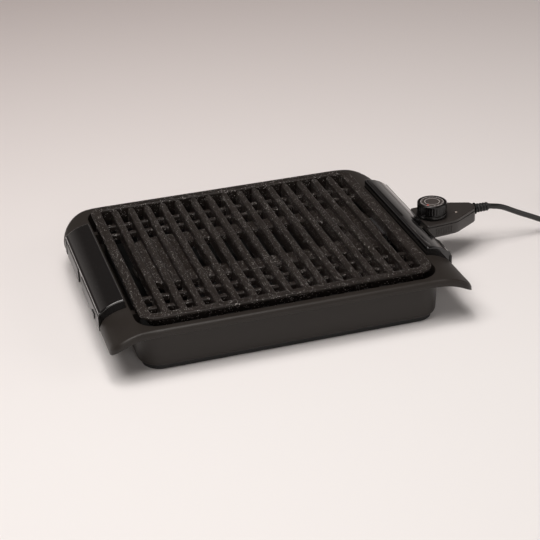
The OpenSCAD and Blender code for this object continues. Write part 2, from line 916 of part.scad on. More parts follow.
module sensor_rod() {
  color([0.72, 0.72, 0.74])
    translate([rod_tip, 0, pin_z])
      rotate([0, 90, 0]) {
        translate([0, 0, 2])
          cylinder(h = ctl_x0 + 8 - rod_tip - 2, r = rod_r);
        cylinder(h = 2 + e, r1 = rod_r - 1, r2 = rod_r);
        translate([0, 0, ctl_x0 + 5 - rod_tip])
          cylinder(h = 2, r = 5);
      }
}

module thermostat_block() {
  color([0.86, 0.84, 0.78])
    difference() {
      block([ctl_x0 + 8, -9, ctl_z0 + ctl_t], [ctl_x0 + 38, 9, pin_z + 1]);
      translate([knob_x, 0, ctl_z0 + 3])
        cylinder(h = 20, r = 3.05);
      block([ctl_x0 + 30, -6, pin_z - 1.5], [ctl_x0 + 40, 6, pin_z + 5]);
    }
}

module contact_leaves() {
  color([0.78, 0.50, 0.28])
    for (s = [-1, 1])
      translate([0, s * 6, pin_z + 1]) {
        block([ctl_x0 + 9, -2, 0], [ctl_x0 + 37, 2, 0.5]);
        translate([ctl_x0 + 27, 0, 0.5 - e])
          cylinder(h = 1, r = 1.4);
      }
}

module neon_lamp() {
  color([0.95, 0.55, 0.30])
    translate([lens_x - 7, lens_y, ctl_z1 - 6.6])
      rotate([0, 90, 0]) {
        cylinder(h = 11, r = 2.3);
        translate([0, 0, 11])
          sphere(r = 2.3);
      }
}

module indicator_lens() {
  color([0.93, 0.88, 0.82, 0.8])
    translate([lens_x, lens_y, ctl_z1 - 4.2]) {
      cylinder(h = 4.1, r = lens_r);
      translate([0, 0, -0.1])
        cylinder(h = 1.2, r = lens_r + 1);
    }
}

// Two insulated leads from the cord entry to the contact forks
module inner_wires() {
  color([0.80, 0.78, 0.74])
    for (s = [-1, 1]) {
      pts = [[ctl_x1 - 7, relief_y + s * 3, relief_z - 2],
        [ctl_x1 - 15, relief_y * 0.85 + s * 6.5, pin_z + 1],
        [ctl_x0 + 40, s * pin_y, pin_z - 3], [ctl_x0 + 4, s * pin_y, pin_z - 3],
        [pin_tip + 2, s * pin_y, pin_z - 3]];
      tube(through(pts, 3), 1.1, 8, [-1, 0, 0], [-1, 0, 0]);
    }
}

module temperature_knob() {
  color([0.05, 0.05, 0.05])
    difference() {
      translate([knob_x, 0, ctl_z1 + fit])
        rotate_extrude()
          polygon(concat([[0, 2], [12, 2], [12, 0], [knob_d / 2 + 0.3, 0], [knob_d / 2 + 0.8, 0.6],
            [knob_d / 2 + 0.8, 3.4], [knob_d / 2 + 0.1, 4]],
            arc(knob_d / 2 - 1.6, knob_h - 1.6, 1.6, 0, 90, 5),
            [[knob_d / 2 - 4, knob_h], [knob_d / 2 - 4, knob_h - 1.2], [0, knob_h - 1.2]]));
      for (a = [0 : 12 : 348])
        translate([knob_x, 0, ctl_z1 + fit + 5])
          rotate([0, 0, a])
            translate([knob_d / 2 + 0.5, 0, 0])
              cylinder(h = knob_h - 8, r = 0.9);
      translate([knob_x, 0, ctl_z1 - 1])
        cylinder(h = 12, r = 3);
    }
}

module knob_dial() {
  color([0.30, 0.28, 0.28])
    translate([knob_x, 0, ctl_z1 + fit + knob_h - 1.2])
      difference() {
        cylinder(h = 1, r = knob_d / 2 - 4.1);
        for (r = [11.6, 8])
          translate([0, 0, 0.6])
            difference() {
              cylinder(h = 1, r = r);
              translate([0, 0, -0.5])
                cylinder(h = 2, r = r - 0.8);
            }
      }
}

module knob_spindle() {
  color([0.70, 0.70, 0.72])
    translate([knob_x, 0, ctl_z0 + 3.4])
      cylinder(h = ctl_h + 7, r = 3);
}

// Tapered bush with ribs round it, at the cord end of the housing
module strain_relief() {
  color([0.07, 0.07, 0.07])
    translate([ctl_x1 - 4, relief_y, relief_z])
      rotate([0, 90, 0])
        difference() {
          union() {
            cylinder(h = 5, r = 3.75);
            translate([0, 0, 4 + e])
              cylinder(h = relief_x - ctl_x1 - e, r1 = 4.4, r2 = cord_r + 0.4);
            translate([0, 0, 4 + e])
              cylinder(h = 1.6, r = 7.6);
            for (i = [0 : 3])
              translate([0, 0, 8 + i * 4.1])
                cylinder(h = 2.5, r = 6 - i * 0.1);
          }
          translate([0, 0, -4])
            cylinder(h = 12, r = 1.6);
        }
}

// A round tube through a list of points, closed at both ends, which face along d0 and d1
module tube(pts, r, sides, d0, d1) {
  n = len(pts);
  dir = [for (i = [0 : n - 1]) let (v = pts[min(i + 1, n - 1)] - pts[max(i - 1, 0)])
    i == 0 ? d0 : i == n - 1 ? d1 : v / norm(v)];
  turn = 360 / sides;
  ringed = [for (i = [0 : n - 1])
    let (side = cross([0, 0, 1], dir[i]), u = side / norm(side), w = cross(dir[i], u))
    for (k = [0.5 : sides - 0.5]) pts[i] + r * (cos(turn * k) * u + sin(turn * k) * w)];
  skin = [for (i = [0 : n - 2], k = [0 : sides - 1])
    let (a = i * sides + k, b = i * sides + (k + 1) % sides)
    [a, a + sides, b + sides, b]];
  ends = [[for (k = [0 : sides - 1]) k], [for (k = [sides - 1 : -1 : 0]) (n - 1) * sides + k]];
  polyhedron(ringed, concat(skin, ends), convexity = 10);
}

// Rounds through the given points (Catmull-Rom), m steps a span
function through(p, m) = concat([for (i = [0 : len(p) - 2], j = [0 : m - 1])
  let (t = j / m, a = p[max(i - 1, 0)], b = p[i], c = p[i + 1], d = p[min(i + 2, len(p) - 1)])
  0.5 * (2 * b + (c - a) * t + (2 * a - 5 * b + 4 * c - d) * t * t + (3 * b - a - 3 * c + d) * t * t * t)],
  [p[len(p) - 1]]);

function path_length(p) = len(p) < 2 ? 0 : norm_sum(p, 0);
function norm_sum(p, i) = i >= len(p) - 1 ? 0 : norm(p[i + 1] - p[i]) + norm_sum(p, i + 1);

free_path = through(cord_route, 3);

// Coil: spirals in flat on the table, climbs one layer at the inside, spirals out again
coil_steps = 24;
climb = 4;
half_n = coil_turns * coil_steps;
coil_loops = [for (i = [0 : 2 * half_n])
  let (a = -90 + 360 * i / coil_steps, inward = i <= half_n,
    r = inward ? coil_out - coil_step * i / coil_steps : coil_in + coil_step * (i - half_n) / coil_steps,
    up = max(0, min(1, (i - half_n + climb / 2) / climb)))
  [coil_x + r * cos(a), coil_y + r * sin(a), lay_z + coil_step * up]];
lead_path = through(concat([coil_loops[2 * half_n]], lead_route), 3);
coil_path = concat(coil_loops, [for (i = [1 : len(lead_path) - 1]) lead_path[i]]);

// Least distance between stretches of the coil that are not neighbours, less the cord's thickness
coil_gap = min([for (i = [0 : 1 : len(coil_path) - 1], j = [i + 8 : 1 : len(coil_path) - 1])
  norm(coil_path[i] - coil_path[j])]) - cord_d;
echo(coil_gap = coil_gap, free_mm = path_length(free_path), coil_mm = path_length(coil_path));

module power_cord() {
  color([0.06, 0.06, 0.06])
    tube(free_path, cord_r, 10, [1, 0, 0], [1, 0, 0]);
}

module cord_coil() {
  color([0.06, 0.06, 0.06])
    tube(coil_path, cord_r, 6, [1, 0, 0], [cos(plug_turn), sin(plug_turn), 0]);
}

module cord_tie() {
  color([0.12, 0.12, 0.12])
    translate([coil_x - 4, coil_y + coil_mean, 0])
      rotate([90, 0, 90])
        linear_extrude(8)
          translate([0, lay_z + coil_step / 2])
            difference() {
              rounded(coil_out - coil_mean + cord_r + 1.6, coil_step / 2 + cord_r + 1.2, 3);
              rounded(coil_out - coil_mean + cord_r + 0.6, coil_step / 2 + cord_r + fit, 2);
            }
}

module at_plug() {
  translate(plug_at)
    rotate([0, 0, plug_turn])
      children();
}

// Two-blade mains plug lying flat beside the coil
module plug_body() {
  color([0.06, 0.06, 0.06])
    at_plug()
      difference() {
        union() {
          rotate([0, 90, 0])
            cylinder(h = 16, r1 = cord_r + 0.8, r2 = 6.5);
          translate([15, 0, -8])
            linear_extrude(16)
              translate([9, 0])
                rounded(9, 12, 5);
          translate([31, 0, -6])
            linear_extrude(12)
              rounded(3, 9, 2);
        }
        for (s = [-1, 1])
          block([28, s * 6.35 - 0.75, -3.2], [40, s * 6.35 + 0.75, 3.2]);
      }
}

module plug_blades() {
  color([0.80, 0.70, 0.42])
    at_plug()
      for (s = [-1, 1])
        difference() {
          block([28, s * 6.35 - 0.75, -3.2], [52, s * 6.35 + 0.75, 3.2]);
          translate([48, s * 6.35, 0])
            rotate([90, 0, 0])
              cylinder(h = 4, r = 1.6, center = true);
        }
}

base_housing();
base_plinth();
plinth_screws();
foot_pads();
left_handle_cover();
right_handle_cover();
left_handle_grip();
right_handle_grip();
handle_screws();
drip_tray();
grill_plate();
heating_element();
element_clips();
clip_screws();
terminal_pins();
pin_insulators();
terminal_guard();
guard_screws();
controller_lower_shell();
controller_upper_shell();
shell_screws();
controller_nose();
contact_forks();
sensor_rod();
thermostat_block();
contact_leaves();
neon_lamp();
indicator_lens();
inner_wires();
temperature_knob();
knob_dial();
knob_spindle();
strain_relief();
power_cord();
cord_coil();
cord_tie();
plug_body();
plug_blades();
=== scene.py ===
# Open electric tabletop grill with its plug-in heat controller, seen from the front left.
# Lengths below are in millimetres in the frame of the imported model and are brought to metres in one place.
import math

import bpy
import numpy as np
from mathutils import Matrix


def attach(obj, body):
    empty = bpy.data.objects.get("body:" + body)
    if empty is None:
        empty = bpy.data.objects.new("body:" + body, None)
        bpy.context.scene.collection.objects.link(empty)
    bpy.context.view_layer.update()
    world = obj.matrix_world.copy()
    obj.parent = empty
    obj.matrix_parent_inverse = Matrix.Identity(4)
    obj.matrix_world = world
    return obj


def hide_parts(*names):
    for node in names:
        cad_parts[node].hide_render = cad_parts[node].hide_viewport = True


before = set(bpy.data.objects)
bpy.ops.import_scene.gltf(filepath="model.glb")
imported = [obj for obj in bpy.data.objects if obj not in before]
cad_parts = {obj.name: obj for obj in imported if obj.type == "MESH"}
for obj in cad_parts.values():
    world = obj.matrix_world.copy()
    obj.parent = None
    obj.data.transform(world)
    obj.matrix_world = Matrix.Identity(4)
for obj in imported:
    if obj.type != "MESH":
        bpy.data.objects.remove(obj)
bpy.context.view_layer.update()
metres = 0.001
smoothAngle = math.radians(38)   # neighbouring faces that meet at less are shaded smooth

# Camera
view = {
    "azimuth": -16.022,      # degrees, 0 looks along +Y
    "elevation": 27.372,
    "roll": -2.245,
    "shift": (-20.139, 40.959, -1831.853),   # plate centre in the camera's own axes
    "plateTop": 66.0,
    "lens": 98.275,          # on a 36 mm sensor
}


def addCamera(s):
    # Axes of the camera: back = (sin a cos e, -cos a cos e, sin e), then a roll about it.
    a, e, r = (math.radians(s[k]) for k in ("azimuth", "elevation", "roll"))
    back = np.array([math.sin(a) * math.cos(e), -math.cos(a) * math.cos(e), math.sin(e)])
    side = np.cross([0, 0, 1], back)
    side /= np.linalg.norm(side)
    up = np.cross(back, side)
    axes = np.array([math.cos(r) * side + math.sin(r) * up, -math.sin(r) * side + math.cos(r) * up, back])
    place = -axes.T @ np.array(s["shift"]) + [0, 0, s["plateTop"]]
    data = bpy.data.cameras.new("camera")
    data.sensor_width = 36
    data.lens = s["lens"]
    data.clip_end = 50
    obj = bpy.data.objects.new("camera", data)
    bpy.context.scene.collection.objects.link(obj)
    matrix = np.eye(4)
    matrix[:3, :3] = axes.T
    matrix[:3, 3] = place * metres
    obj.matrix_world = Matrix(matrix.tolist())
    bpy.context.scene.camera = obj


addCamera(view)
print("camera ready")

# Shapes, as arrays of points and faces


def arcPoints(cx, cy, r, a0, a1, n):
    # (cx + r cos a, cy + r sin a) for n + 1 angles from a0 to a1 in degrees.
    a = np.radians(np.linspace(a0, a1, n + 1))
    return np.stack([cx + r * np.cos(a), cy + r * np.sin(a)], -1)


def fillet(corners, radii, steps=5):
    # Each corner of a closed polygon becomes an arc that touches both its edges:
    # it starts and ends r / tan(half the corner's angle) from the corner.
    c = np.asarray(corners, float)
    radii = np.broadcast_to(radii, len(c))
    out = []
    for k in range(len(c)):
        p, a, b = c[k], c[k - 1] - c[k], c[(k + 1) % len(c)] - c[k]
        la, lb = np.linalg.norm(a), np.linalg.norm(b)
        a, b = a / la, b / lb
        half = math.acos(np.clip(a @ b, -1, 1)) / 2
        if radii[k] <= 0 or half > 1.56:
            out.append(p[None])
            continue
        reach = min(radii[k] / math.tan(half), 0.48 * la, 0.48 * lb)
        t = np.linspace(0, 1, steps + 1)[:, None]
        # quarter-round by rational quadratic Bezier with weight sin(half)
        w = math.sin(half)
        top = (1 - t) ** 2 * (p + a * reach) + 2 * w * t * (1 - t) * p + t ** 2 * (p + b * reach)
        out.append(top / ((1 - t) ** 2 + 2 * w * t * (1 - t) + t ** 2))
    return np.concatenate(out)


def roundedPath(hx, hy, r, perCorner=10, marks=()):
    # Stations round a rounded rectangle: a centre and an outward direction for each, so that
    # the line itself is centre + direction * r. marks are extra y values on the two long sides.
    centres, dirs = [], []
    for q, (sx, sy) in enumerate([(1, 1), (-1, 1), (-1, -1), (1, -1)]):
        a = np.radians(np.linspace(90 * q, 90 * q + 90, perCorner + 1))
        centres.append(np.tile([sx * (hx - r), sy * (hy - r)], (perCorner + 1, 1)))
        dirs.append(np.stack([np.cos(a), np.sin(a)], -1))
        if q in (1, 3) and len(marks):   # down the left side, up the right one
            y = np.sort(np.asarray(marks, float))[::sx]
            centres.append(np.stack([np.full(len(y), sx * (hx - r)), y], -1))
            dirs.append(np.tile([float(sx), 0.0], (len(y), 1)))
    return np.concatenate(centres), np.concatenate(dirs)


def gridFaces(rows, cols, closeRows=False, closeCols=False):
    # Quads between neighbouring points of a grid, as indices into its flattened points.
    i = np.arange(rows if closeRows else rows - 1)[:, None]
    j = np.arange(cols if closeCols else cols - 1)[None, :]
    i1, j1 = (i + 1) % rows, (j + 1) % cols
    return np.stack([i * cols + j, i * cols + j1, i1 * cols + j1, i1 * cols + j], -1).reshape(-1, 4)


def outwards(points, faces):
    # Turns every face round when the volume that they enclose, the sum of p0 . (p1 x p2) / 6, is negative.
    total = 0.0
    for f in faces:
        f = np.asarray(f)
        if f.ndim == 1:
            f = f[None]
        for k in range(1, f.shape[1] - 1):
            total += np.einsum("ij,ij->", points[f[:, 0]], np.cross(points[f[:, k]], points[f[:, k + 1]]))
    if total < 0:
        faces = [np.asarray(f)[..., ::-1] for f in faces]
    return points, faces


def loft(rings, closePath=False, caps=True):
    # rings[i, j] is point j of closed section i; neighbouring sections are joined by quads.
    rings = np.asarray(rings, float)
    m, n = rings.shape[:2]
    faces = [gridFaces(m, n, closePath, True)]
    if caps and not closePath:
        faces += [np.arange(n), np.arange((m - 1) * n, m * n)[::-1]]
    return outwards(rings.reshape(-1, 3), faces)


def sweepRound(section, hx, hy, r, perCorner=10):
    # The section (x outwards, z up) is carried round a rounded rectangle: centre + direction * (r + x).
    c, d = roundedPath(hx, hy, r, perCorner)
    section = np.asarray(section, float)
    flat = c[:, None] + d[:, None] * (r + section[None, :, :1])
    z = np.broadcast_to(section[None, :, 1:], flat[..., :1].shape)
    return loft(np.concatenate([flat, z], -1), closePath=True)


def lathe(profile, at, turns=96, ripple=None):
    # The profile (radius, height) goes round a vertical axis; ripple(angle, height) is added to the radius.
    profile = np.asarray(profile, float)
    a = np.linspace(0, 2 * math.pi, turns, endpoint=False)
    r = np.broadcast_to(profile[:, :1], (len(profile), turns)).copy()
    if ripple is not None:
        r = r + ripple(a[None], profile[:, 1:])
    z = np.broadcast_to(profile[:, 1:], r.shape)
    return loft(np.stack([at[0] + r * np.cos(a), at[1] + r * np.sin(a), at[2] + z], -1))


def inset(outline, d):
    # Moves a closed line inwards by d along the bisector of each corner (counterclockwise lines).
    e1 = outline - np.roll(outline, 1, 0)
    e2 = np.roll(outline, -1, 0) - outline
    n1 = np.stack([e1[:, 1], -e1[:, 0]], -1) / np.maximum(np.linalg.norm(e1, axis=1), 1e-9)[:, None]
    n2 = np.stack([e2[:, 1], -e2[:, 0]], -1) / np.maximum(np.linalg.norm(e2, axis=1), 1e-9)[:, None]
    n = n1 + n2
    return outline - d * n / np.maximum((n * n).sum(1) / 2, 0.4)[:, None]


def slab(outline, z0, z1, low=0.0, high=0.0, steps=3):
    # An outline pushed up from z0 to z1, its edges rounded: at angle a the line is moved in by
    # b (1 - cos a) and lies b (1 - sin a) from the face.
    rings = []
    for b, z, up in ((low, z0, 1), (high, z1, -1)):
        a = np.radians(np.linspace(90, 0, steps + 1)) if b > 0 else np.array([0.0])
        a = a if up > 0 else a[::-1]
        rings += [np.c_[inset(outline, b * (1 - math.cos(t))),
                        np.full(len(outline), z + up * b * (1 - math.sin(t)))] for t in a]
    return loft(rings)


def brick(lo, hi, edge=0.4):
    # A box between two corners with rounded upright and level edges.
    c = fillet([[lo[0], lo[1]], [hi[0], lo[1]], [hi[0], hi[1]], [lo[0], hi[1]]], edge, 3)
    return slab(c, lo[2], hi[2], edge * 0.8, edge * 0.8)


def tubeAlong(points, radii, sides=12, shape=None):
    # A round section carried along a line. Its frame is turned as little as possible from point to point:
    # u' = u - (u . t) t, made a unit vector again. shape(angle) scales the section.
    p = np.asarray(points, float)
    t = np.gradient(p, axis=0)
    t /= np.linalg.norm(t, axis=1)[:, None]
    radii = np.broadcast_to(radii, len(p))
    a = np.linspace(0, 2 * math.pi, sides, endpoint=False)
    s = np.ones(sides) if shape is None else shape(a)
    u = np.cross([0, 0, 1.0], t[0])
    u /= np.linalg.norm(u)
    rings = np.empty((len(p), sides, 3))
    for i in range(len(p)):
        u = u - (u @ t[i]) * t[i]
        u /= np.linalg.norm(u)
        w = np.cross(t[i], u)
        rings[i] = p[i] + radii[i] * s[:, None] * (np.cos(a)[:, None] * u + np.sin(a)[:, None] * w)
    return loft(rings)


def throughPoints(p, m):
    # Catmull-Rom: 0.5 (2b + (c-a)t + (2a-5b+4c-d)t^2 + (3b-a-3c+d)t^3), m steps a span.
    p = np.asarray(p, float)
    a = np.concatenate([p[:1], p[:-2]])
    b, c = p[:-1], p[1:]
    d = np.concatenate([p[2:], p[-1:]])
    t = np.arange(m)[None, :, None] / m
    a, b, c, d = (v[:, None] for v in (a, b, c, d))
    q = 0.5 * (2 * b + (c - a) * t + (2 * a - 5 * b + 4 * c - d) * t ** 2 + (3 * b - a - 3 * c + d) * t ** 3)
    return np.concatenate([q.reshape(-1, 3), p[-1:]])


def acrossDepth(line, y, sx=1):
    # A line of (x, z) stood up at depth y, mirrored for sx = -1.
    return np.stack([sx * line[:, 0], np.full(len(line), y), line[:, 1]], -1)


def makePiece(name, parts, material, body, replaced=(), slot=None):
    # One mesh object from several surfaces; the nodes that it replaces are hidden.
    points, faces, start = [], [], 0
    for v, fs in parts:
        points.append(v)
        for f in fs:
            f = np.asarray(f) + start
            faces += f.tolist() if f.ndim == 2 else [f.tolist()]
        start += len(v)
    mesh = bpy.data.meshes.new(name)
    mesh.from_pydata((np.concatenate(points) * metres).tolist(), [], faces)
    mesh.polygons.foreach_set("use_smooth", np.ones(len(mesh.polygons), bool))
    mesh.set_sharp_from_angle(angle=smoothAngle)
    mesh.materials.append(material)
    obj = bpy.data.objects.new(name, mesh)
    bpy.context.scene.collection.objects.link(obj)
    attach(obj, body)
    if isinstance(replaced, str):
        replaced, slot = (replaced,), slot or replaced
    if replaced:
        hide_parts(*replaced)
    return obj


# Materials
def groupTree(name, inputs, outputs):
    # A node group with plain number sockets: inputs with their defaults, and outputs.
    tree = bpy.data.node_groups.new(name, "ShaderNodeTree")
    for label, value in inputs.items():
        socket = tree.interface.new_socket(label, in_out="INPUT", socket_type="NodeSocketFloat")
        socket.default_value = value
    for label in outputs:
        tree.interface.new_socket(label, in_out="OUTPUT", socket_type="NodeSocketFloat")
    return tree, tree.nodes.new("NodeGroupInput"), tree.nodes.new("NodeGroupOutput")


def addNode(tree, kind, values=None, links=None, **settings):
    n = tree.nodes.new(kind)
    for k, v in settings.items():
        setattr(n, k, v)
    for k, v in (values or {}).items():
        n.inputs[k].default_value = v
    for k, v in (links or {}).items():
        tree.links.new(v, n.inputs[k])
    return n


def ramp(tree, source, low, high, out0=0.0, out1=1.0):
    values = {"From Min": low, "From Max": high, "To Min": out0, "To Max": out1}
    return addNode(tree, "ShaderNodeMapRange", values, {"Value": source}).outputs["Result"]


def combine(tree, operation, a, b):
    # A math node on two sockets.
    return addNode(tree, "ShaderNodeMath", None, {0: a, 1: b}, operation=operation).outputs[0]


def makeGrainGroup():
    # Moulded plastic: fine pebble noise, a slow drift of tone, and a height for the bump.
    tree, gin, gout = groupTree("mouldGrain", {"Size": 900.0, "Drift": 12.0}, ("Height", "Tone"))
    co = addNode(tree, "ShaderNodeTexCoord").outputs["Object"]
    fine = addNode(tree, "ShaderNodeTexNoise", {"Detail": 2.0, "Roughness": 0.55},
                   {"Vector": co, "Scale": gin.outputs["Size"]})
    slow = addNode(tree, "ShaderNodeTexNoise", {"Detail": 3.0, "Roughness": 0.5},
                   {"Vector": co, "Scale": gin.outputs["Drift"]})
    tree.links.new(fine.outputs["Fac"], gout.inputs["Height"])
    tree.links.new(slow.outputs["Fac"], gout.inputs["Tone"])
    return tree


def makeSpeckGroup():
    # Pale flecks of a non-stick coat: cells picked by their random value, each with a small round dot.
    # The mask is 0.35 to 1 inside a dot, by a second random value, and 0 elsewhere.
    tree, gin, gout = groupTree("coatSpecks", {"Cells": 600.0, "Share": 0.3, "Dot": 0.35}, ("Mask",))
    co = addNode(tree, "ShaderNodeTexCoord").outputs["Object"]
    cell = addNode(tree, "ShaderNodeTexVoronoi", None, {"Vector": co, "Scale": gin.outputs["Cells"]})
    pick = addNode(tree, "ShaderNodeSeparateColor", None, {"Color": cell.outputs["Color"]})
    chosen = combine(tree, "LESS_THAN", pick.outputs["Red"], gin.outputs["Share"])
    dot = combine(tree, "LESS_THAN", cell.outputs["Distance"], gin.outputs["Dot"])
    bright = ramp(tree, pick.outputs["Green"], 0.0, 1.0, 0.35, 1.0)
    mask = combine(tree, "MULTIPLY", combine(tree, "MULTIPLY", chosen, dot), bright)
    tree.links.new(mask, gout.inputs["Mask"])
    return tree


grainGroup = makeGrainGroup()
speckGroup = makeSpeckGroup()


def newMaterial(name):
    m = bpy.data.materials.new(name)
    m.use_nodes = True
    tree = m.node_tree
    return m, tree, tree.nodes["Principled BSDF"]


def useGroup(tree, group, **values):
    n = tree.nodes.new("ShaderNodeGroup")
    n.node_tree = group
    for k, v in values.items():
        n.inputs[k].default_value = v
    return n


def mixColour(tree, factor, a, b):
    # Either colour is a list of red, green and blue, or a socket that gives one.
    n = addNode(tree, "ShaderNodeMix", None, {0: factor}, data_type="RGBA")
    for key, colour in ((6, a), (7, b)):
        if isinstance(colour, (list, tuple)):
            n.inputs[key].default_value = (*colour, 1)
        else:
            tree.links.new(colour, n.inputs[key])
    return n.outputs[2]


toneRange = (0.3, 0.7)   # noise seldom leaves this range


def tones(tree, source, colour, low, high):
    # The colour between low and high times itself, by a noise.
    dark, pale = ([min(1, c * k) for c in colour] for k in (low, high))
    return mixColour(tree, ramp(tree, source, *toneRange), dark, pale)


def setSurface(tree, shader, colour, source, rough, height, bump, depth):
    # Colour as it comes, roughness between two values by a noise, and a bump from a height.
    tree.links.new(colour, shader.inputs["Base Color"])
    tree.links.new(ramp(tree, source, *toneRange, *rough), shader.inputs["Roughness"])
    b = addNode(tree, "ShaderNodeBump", {"Strength": bump, "Distance": depth}, {"Height": height})
    tree.links.new(b.outputs["Normal"], shader.inputs["Normal"])


def plasticMaterial(name, colour, rough=0.45, spread=0.12, grain=900.0, bump=0.15, coat=0.0, specular=0.5):
    # Moulded plastic or rubber: tone and roughness drift slowly, the pebble grain bends the light.
    m, tree, shader = newMaterial(name)
    g = useGroup(tree, grainGroup, Size=grain, Drift=12.0)
    tone = g.outputs["Tone"]
    setSurface(tree, shader, tones(tree, tone, colour, 1 - spread, 1 + spread), tone,
               (rough * (1 - spread), rough * (1 + spread)), g.outputs["Height"], bump, 0.0002)
    shader.inputs["Specular IOR Level"].default_value = specular
    shader.inputs["Coat Weight"].default_value = coat
    shader.inputs["Coat Roughness"].default_value = 0.04
    return m


def metalMaterial(name, colour, rough=0.3, spread=0.15, grain=300.0, stretch=(1, 1, 1)):
    # Bare or plated metal: a drawn grain, stretched along one axis, in colour, roughness and bump.
    m, tree, shader = newMaterial(name)
    co = addNode(tree, "ShaderNodeTexCoord").outputs["Object"]
    mapped = addNode(tree, "ShaderNodeMapping", {"Scale": stretch}, {"Vector": co})
    drawn = addNode(tree, "ShaderNodeTexNoise", {"Scale": grain, "Detail": 4.0, "Roughness": 0.6},
                    {"Vector": mapped.outputs["Vector"]}).outputs["Fac"]
    setSurface(tree, shader, tones(tree, drawn, colour, 1 - spread, 1 + spread), drawn,
               (rough * 0.8, rough * 1.25), drawn, 0.08, 0.0001)
    shader.inputs["Metallic"].default_value = 1.0
    return m


def coatMaterial(name, colour, fleck, rough, share):
    # Speckled non-stick coat: fine and coarse flecks over a dark, slightly pebbled ground.
    m, tree, shader = newMaterial(name)
    g = useGroup(tree, grainGroup, Size=1500.0, Drift=22.0)
    tone = g.outputs["Tone"]
    fine = useGroup(tree, speckGroup, Cells=1050.0, Share=share, Dot=0.36)
    coarse = useGroup(tree, speckGroup, Cells=560.0, Share=share * 0.35, Dot=0.28)
    flecks = combine(tree, "MAXIMUM", fine.outputs["Mask"], coarse.outputs["Mask"])
    pebbles = addNode(tree, "ShaderNodeMath", {1: 0.6}, {0: g.outputs["Height"]}, operation="MULTIPLY")
    height = combine(tree, "ADD", pebbles.outputs[0], flecks)
    painted = mixColour(tree, flecks, tones(tree, tone, colour, 0.85, 1.2), fleck)
    setSurface(tree, shader, painted, tone, (rough * 0.85, rough * 1.2), height, 0.35, 0.0002)
    shader.inputs["Specular IOR Level"].default_value = 0.25
    return m


housingPlastic = plasticMaterial("housingPlastic", (0.0180, 0.0145, 0.0120), spread=0.06, grain=1400,
                                 bump=0.12, specular=0.32)
plinthPlastic = plasticMaterial("plinthPlastic", (0.010, 0.010, 0.010), rough=0.6)
coverGloss = plasticMaterial("coverGloss", (0.008, 0.0075, 0.0075), rough=0.10, spread=0.05, bump=0.02,
                             coat=0.6)
gripPlastic = plasticMaterial("gripPlastic", (0.0065, 0.0057, 0.0052), rough=0.32, grain=1100, specular=0.4)
controllerPlastic = plasticMaterial("controllerPlastic", (0.024, 0.0205, 0.0185), rough=0.30, spread=0.08,
                                    grain=1500, bump=0.08)
knobPlastic = plasticMaterial("knobPlastic", (0.004, 0.0036, 0.0034), rough=0.20, bump=0.05, specular=0.4)
noseResin = plasticMaterial("noseResin", (0.030, 0.027, 0.024), rough=0.5)
cordRubber = plasticMaterial("cordRubber", (0.014, 0.0135, 0.013), rough=0.32, grain=700, bump=0.1)
reliefRubber = plasticMaterial("reliefRubber", (0.010, 0.010, 0.010), rough=0.36, bump=0.12)
padRubber = plasticMaterial("padRubber", (0.010, 0.010, 0.010), rough=0.7, grain=600, bump=0.3)
tiePlastic = plasticMaterial("tiePlastic", (0.015, 0.015, 0.015), rough=0.4)
ceramic = plasticMaterial("ceramic", (0.68, 0.65, 0.57), rough=0.65, spread=0.05, grain=500, bump=0.25)
sleeve = plasticMaterial("sleeve", (0.55, 0.52, 0.46), rough=0.7, grain=2200, bump=0.4)
plateCoat = coatMaterial("plateCoat", (0.0125, 0.0092, 0.0076), (0.80, 0.76, 0.73), 0.42, 0.10)
trayEnamel = plasticMaterial("trayEnamel", (0.010, 0.010, 0.010), rough=0.3, spread=0.1, grain=500, bump=0.1)
zincSteel = metalMaterial("zincSteel", (0.55, 0.55, 0.57), rough=0.32)
sheetSteel = metalMaterial("sheetSteel", (0.58, 0.58, 0.60), rough=0.28, stretch=(1, 20, 1))
drawnSteel = metalMaterial("drawnSteel", (0.62, 0.62, 0.64), rough=0.2, stretch=(20, 1, 1))
heaterSteel = metalMaterial("heaterSteel", (0.045, 0.040, 0.037), rough=0.5, spread=0.35, grain=60)
brass = metalMaterial("brass", (0.72, 0.53, 0.24), rough=0.25)
copper = metalMaterial("copper", (0.70, 0.38, 0.20), rough=0.3)

carried = {
    "base_plinth": plinthPlastic, "plinth_screws": zincSteel, "foot_pads": padRubber,
    "left_handle_grip": gripPlastic, "right_handle_grip": gripPlastic, "handle_screws": zincSteel,
    "drip_tray": trayEnamel, "heating_element": heaterSteel, "element_clips": sheetSteel,
    "clip_screws": zincSteel, "terminal_pins": drawnSteel, "pin_insulators": ceramic,
    "terminal_guard": sheetSteel, "guard_screws": zincSteel, "shell_screws": zincSteel,
    "controller_nose": noseResin, "contact_forks": brass, "sensor_rod": drawnSteel,
    "thermostat_block": ceramic, "contact_leaves": copper, "knob_spindle": drawnSteel,
    "inner_wires": sleeve, "plug_blades": brass,
}

for node, material in carried.items():
    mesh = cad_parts[node].data
    mesh.materials.clear()
    mesh.materials.append(material)
print("materials ready")

# Cord, coil and plug
lead = {
    "radius": 3.6,
    "exit": (321.9, 8.1, 50.5),
    "route": [(0, 0, 0), (18, -1.5, -3.6), (40, -2, -14.5), (62, -2, -25), (82, -2.1, -34.5),
              (103, -2.1, -41.5), (124, -1.1, -44.6)],
    "runIn": 150.0, "coilCentre": (507.9, 60.0), "coilMean": 40.0, "step": 7.75, "turns": 3, "lay": 4.9,
    "stepsPerTurn": 24, "climb": 4,
    "tail": [(22, -1, 12.65), (44, -4, 11.0), (64, -8, 9.5), (80, -12, 9.0)],
    "plugTurn": -14.0,
}


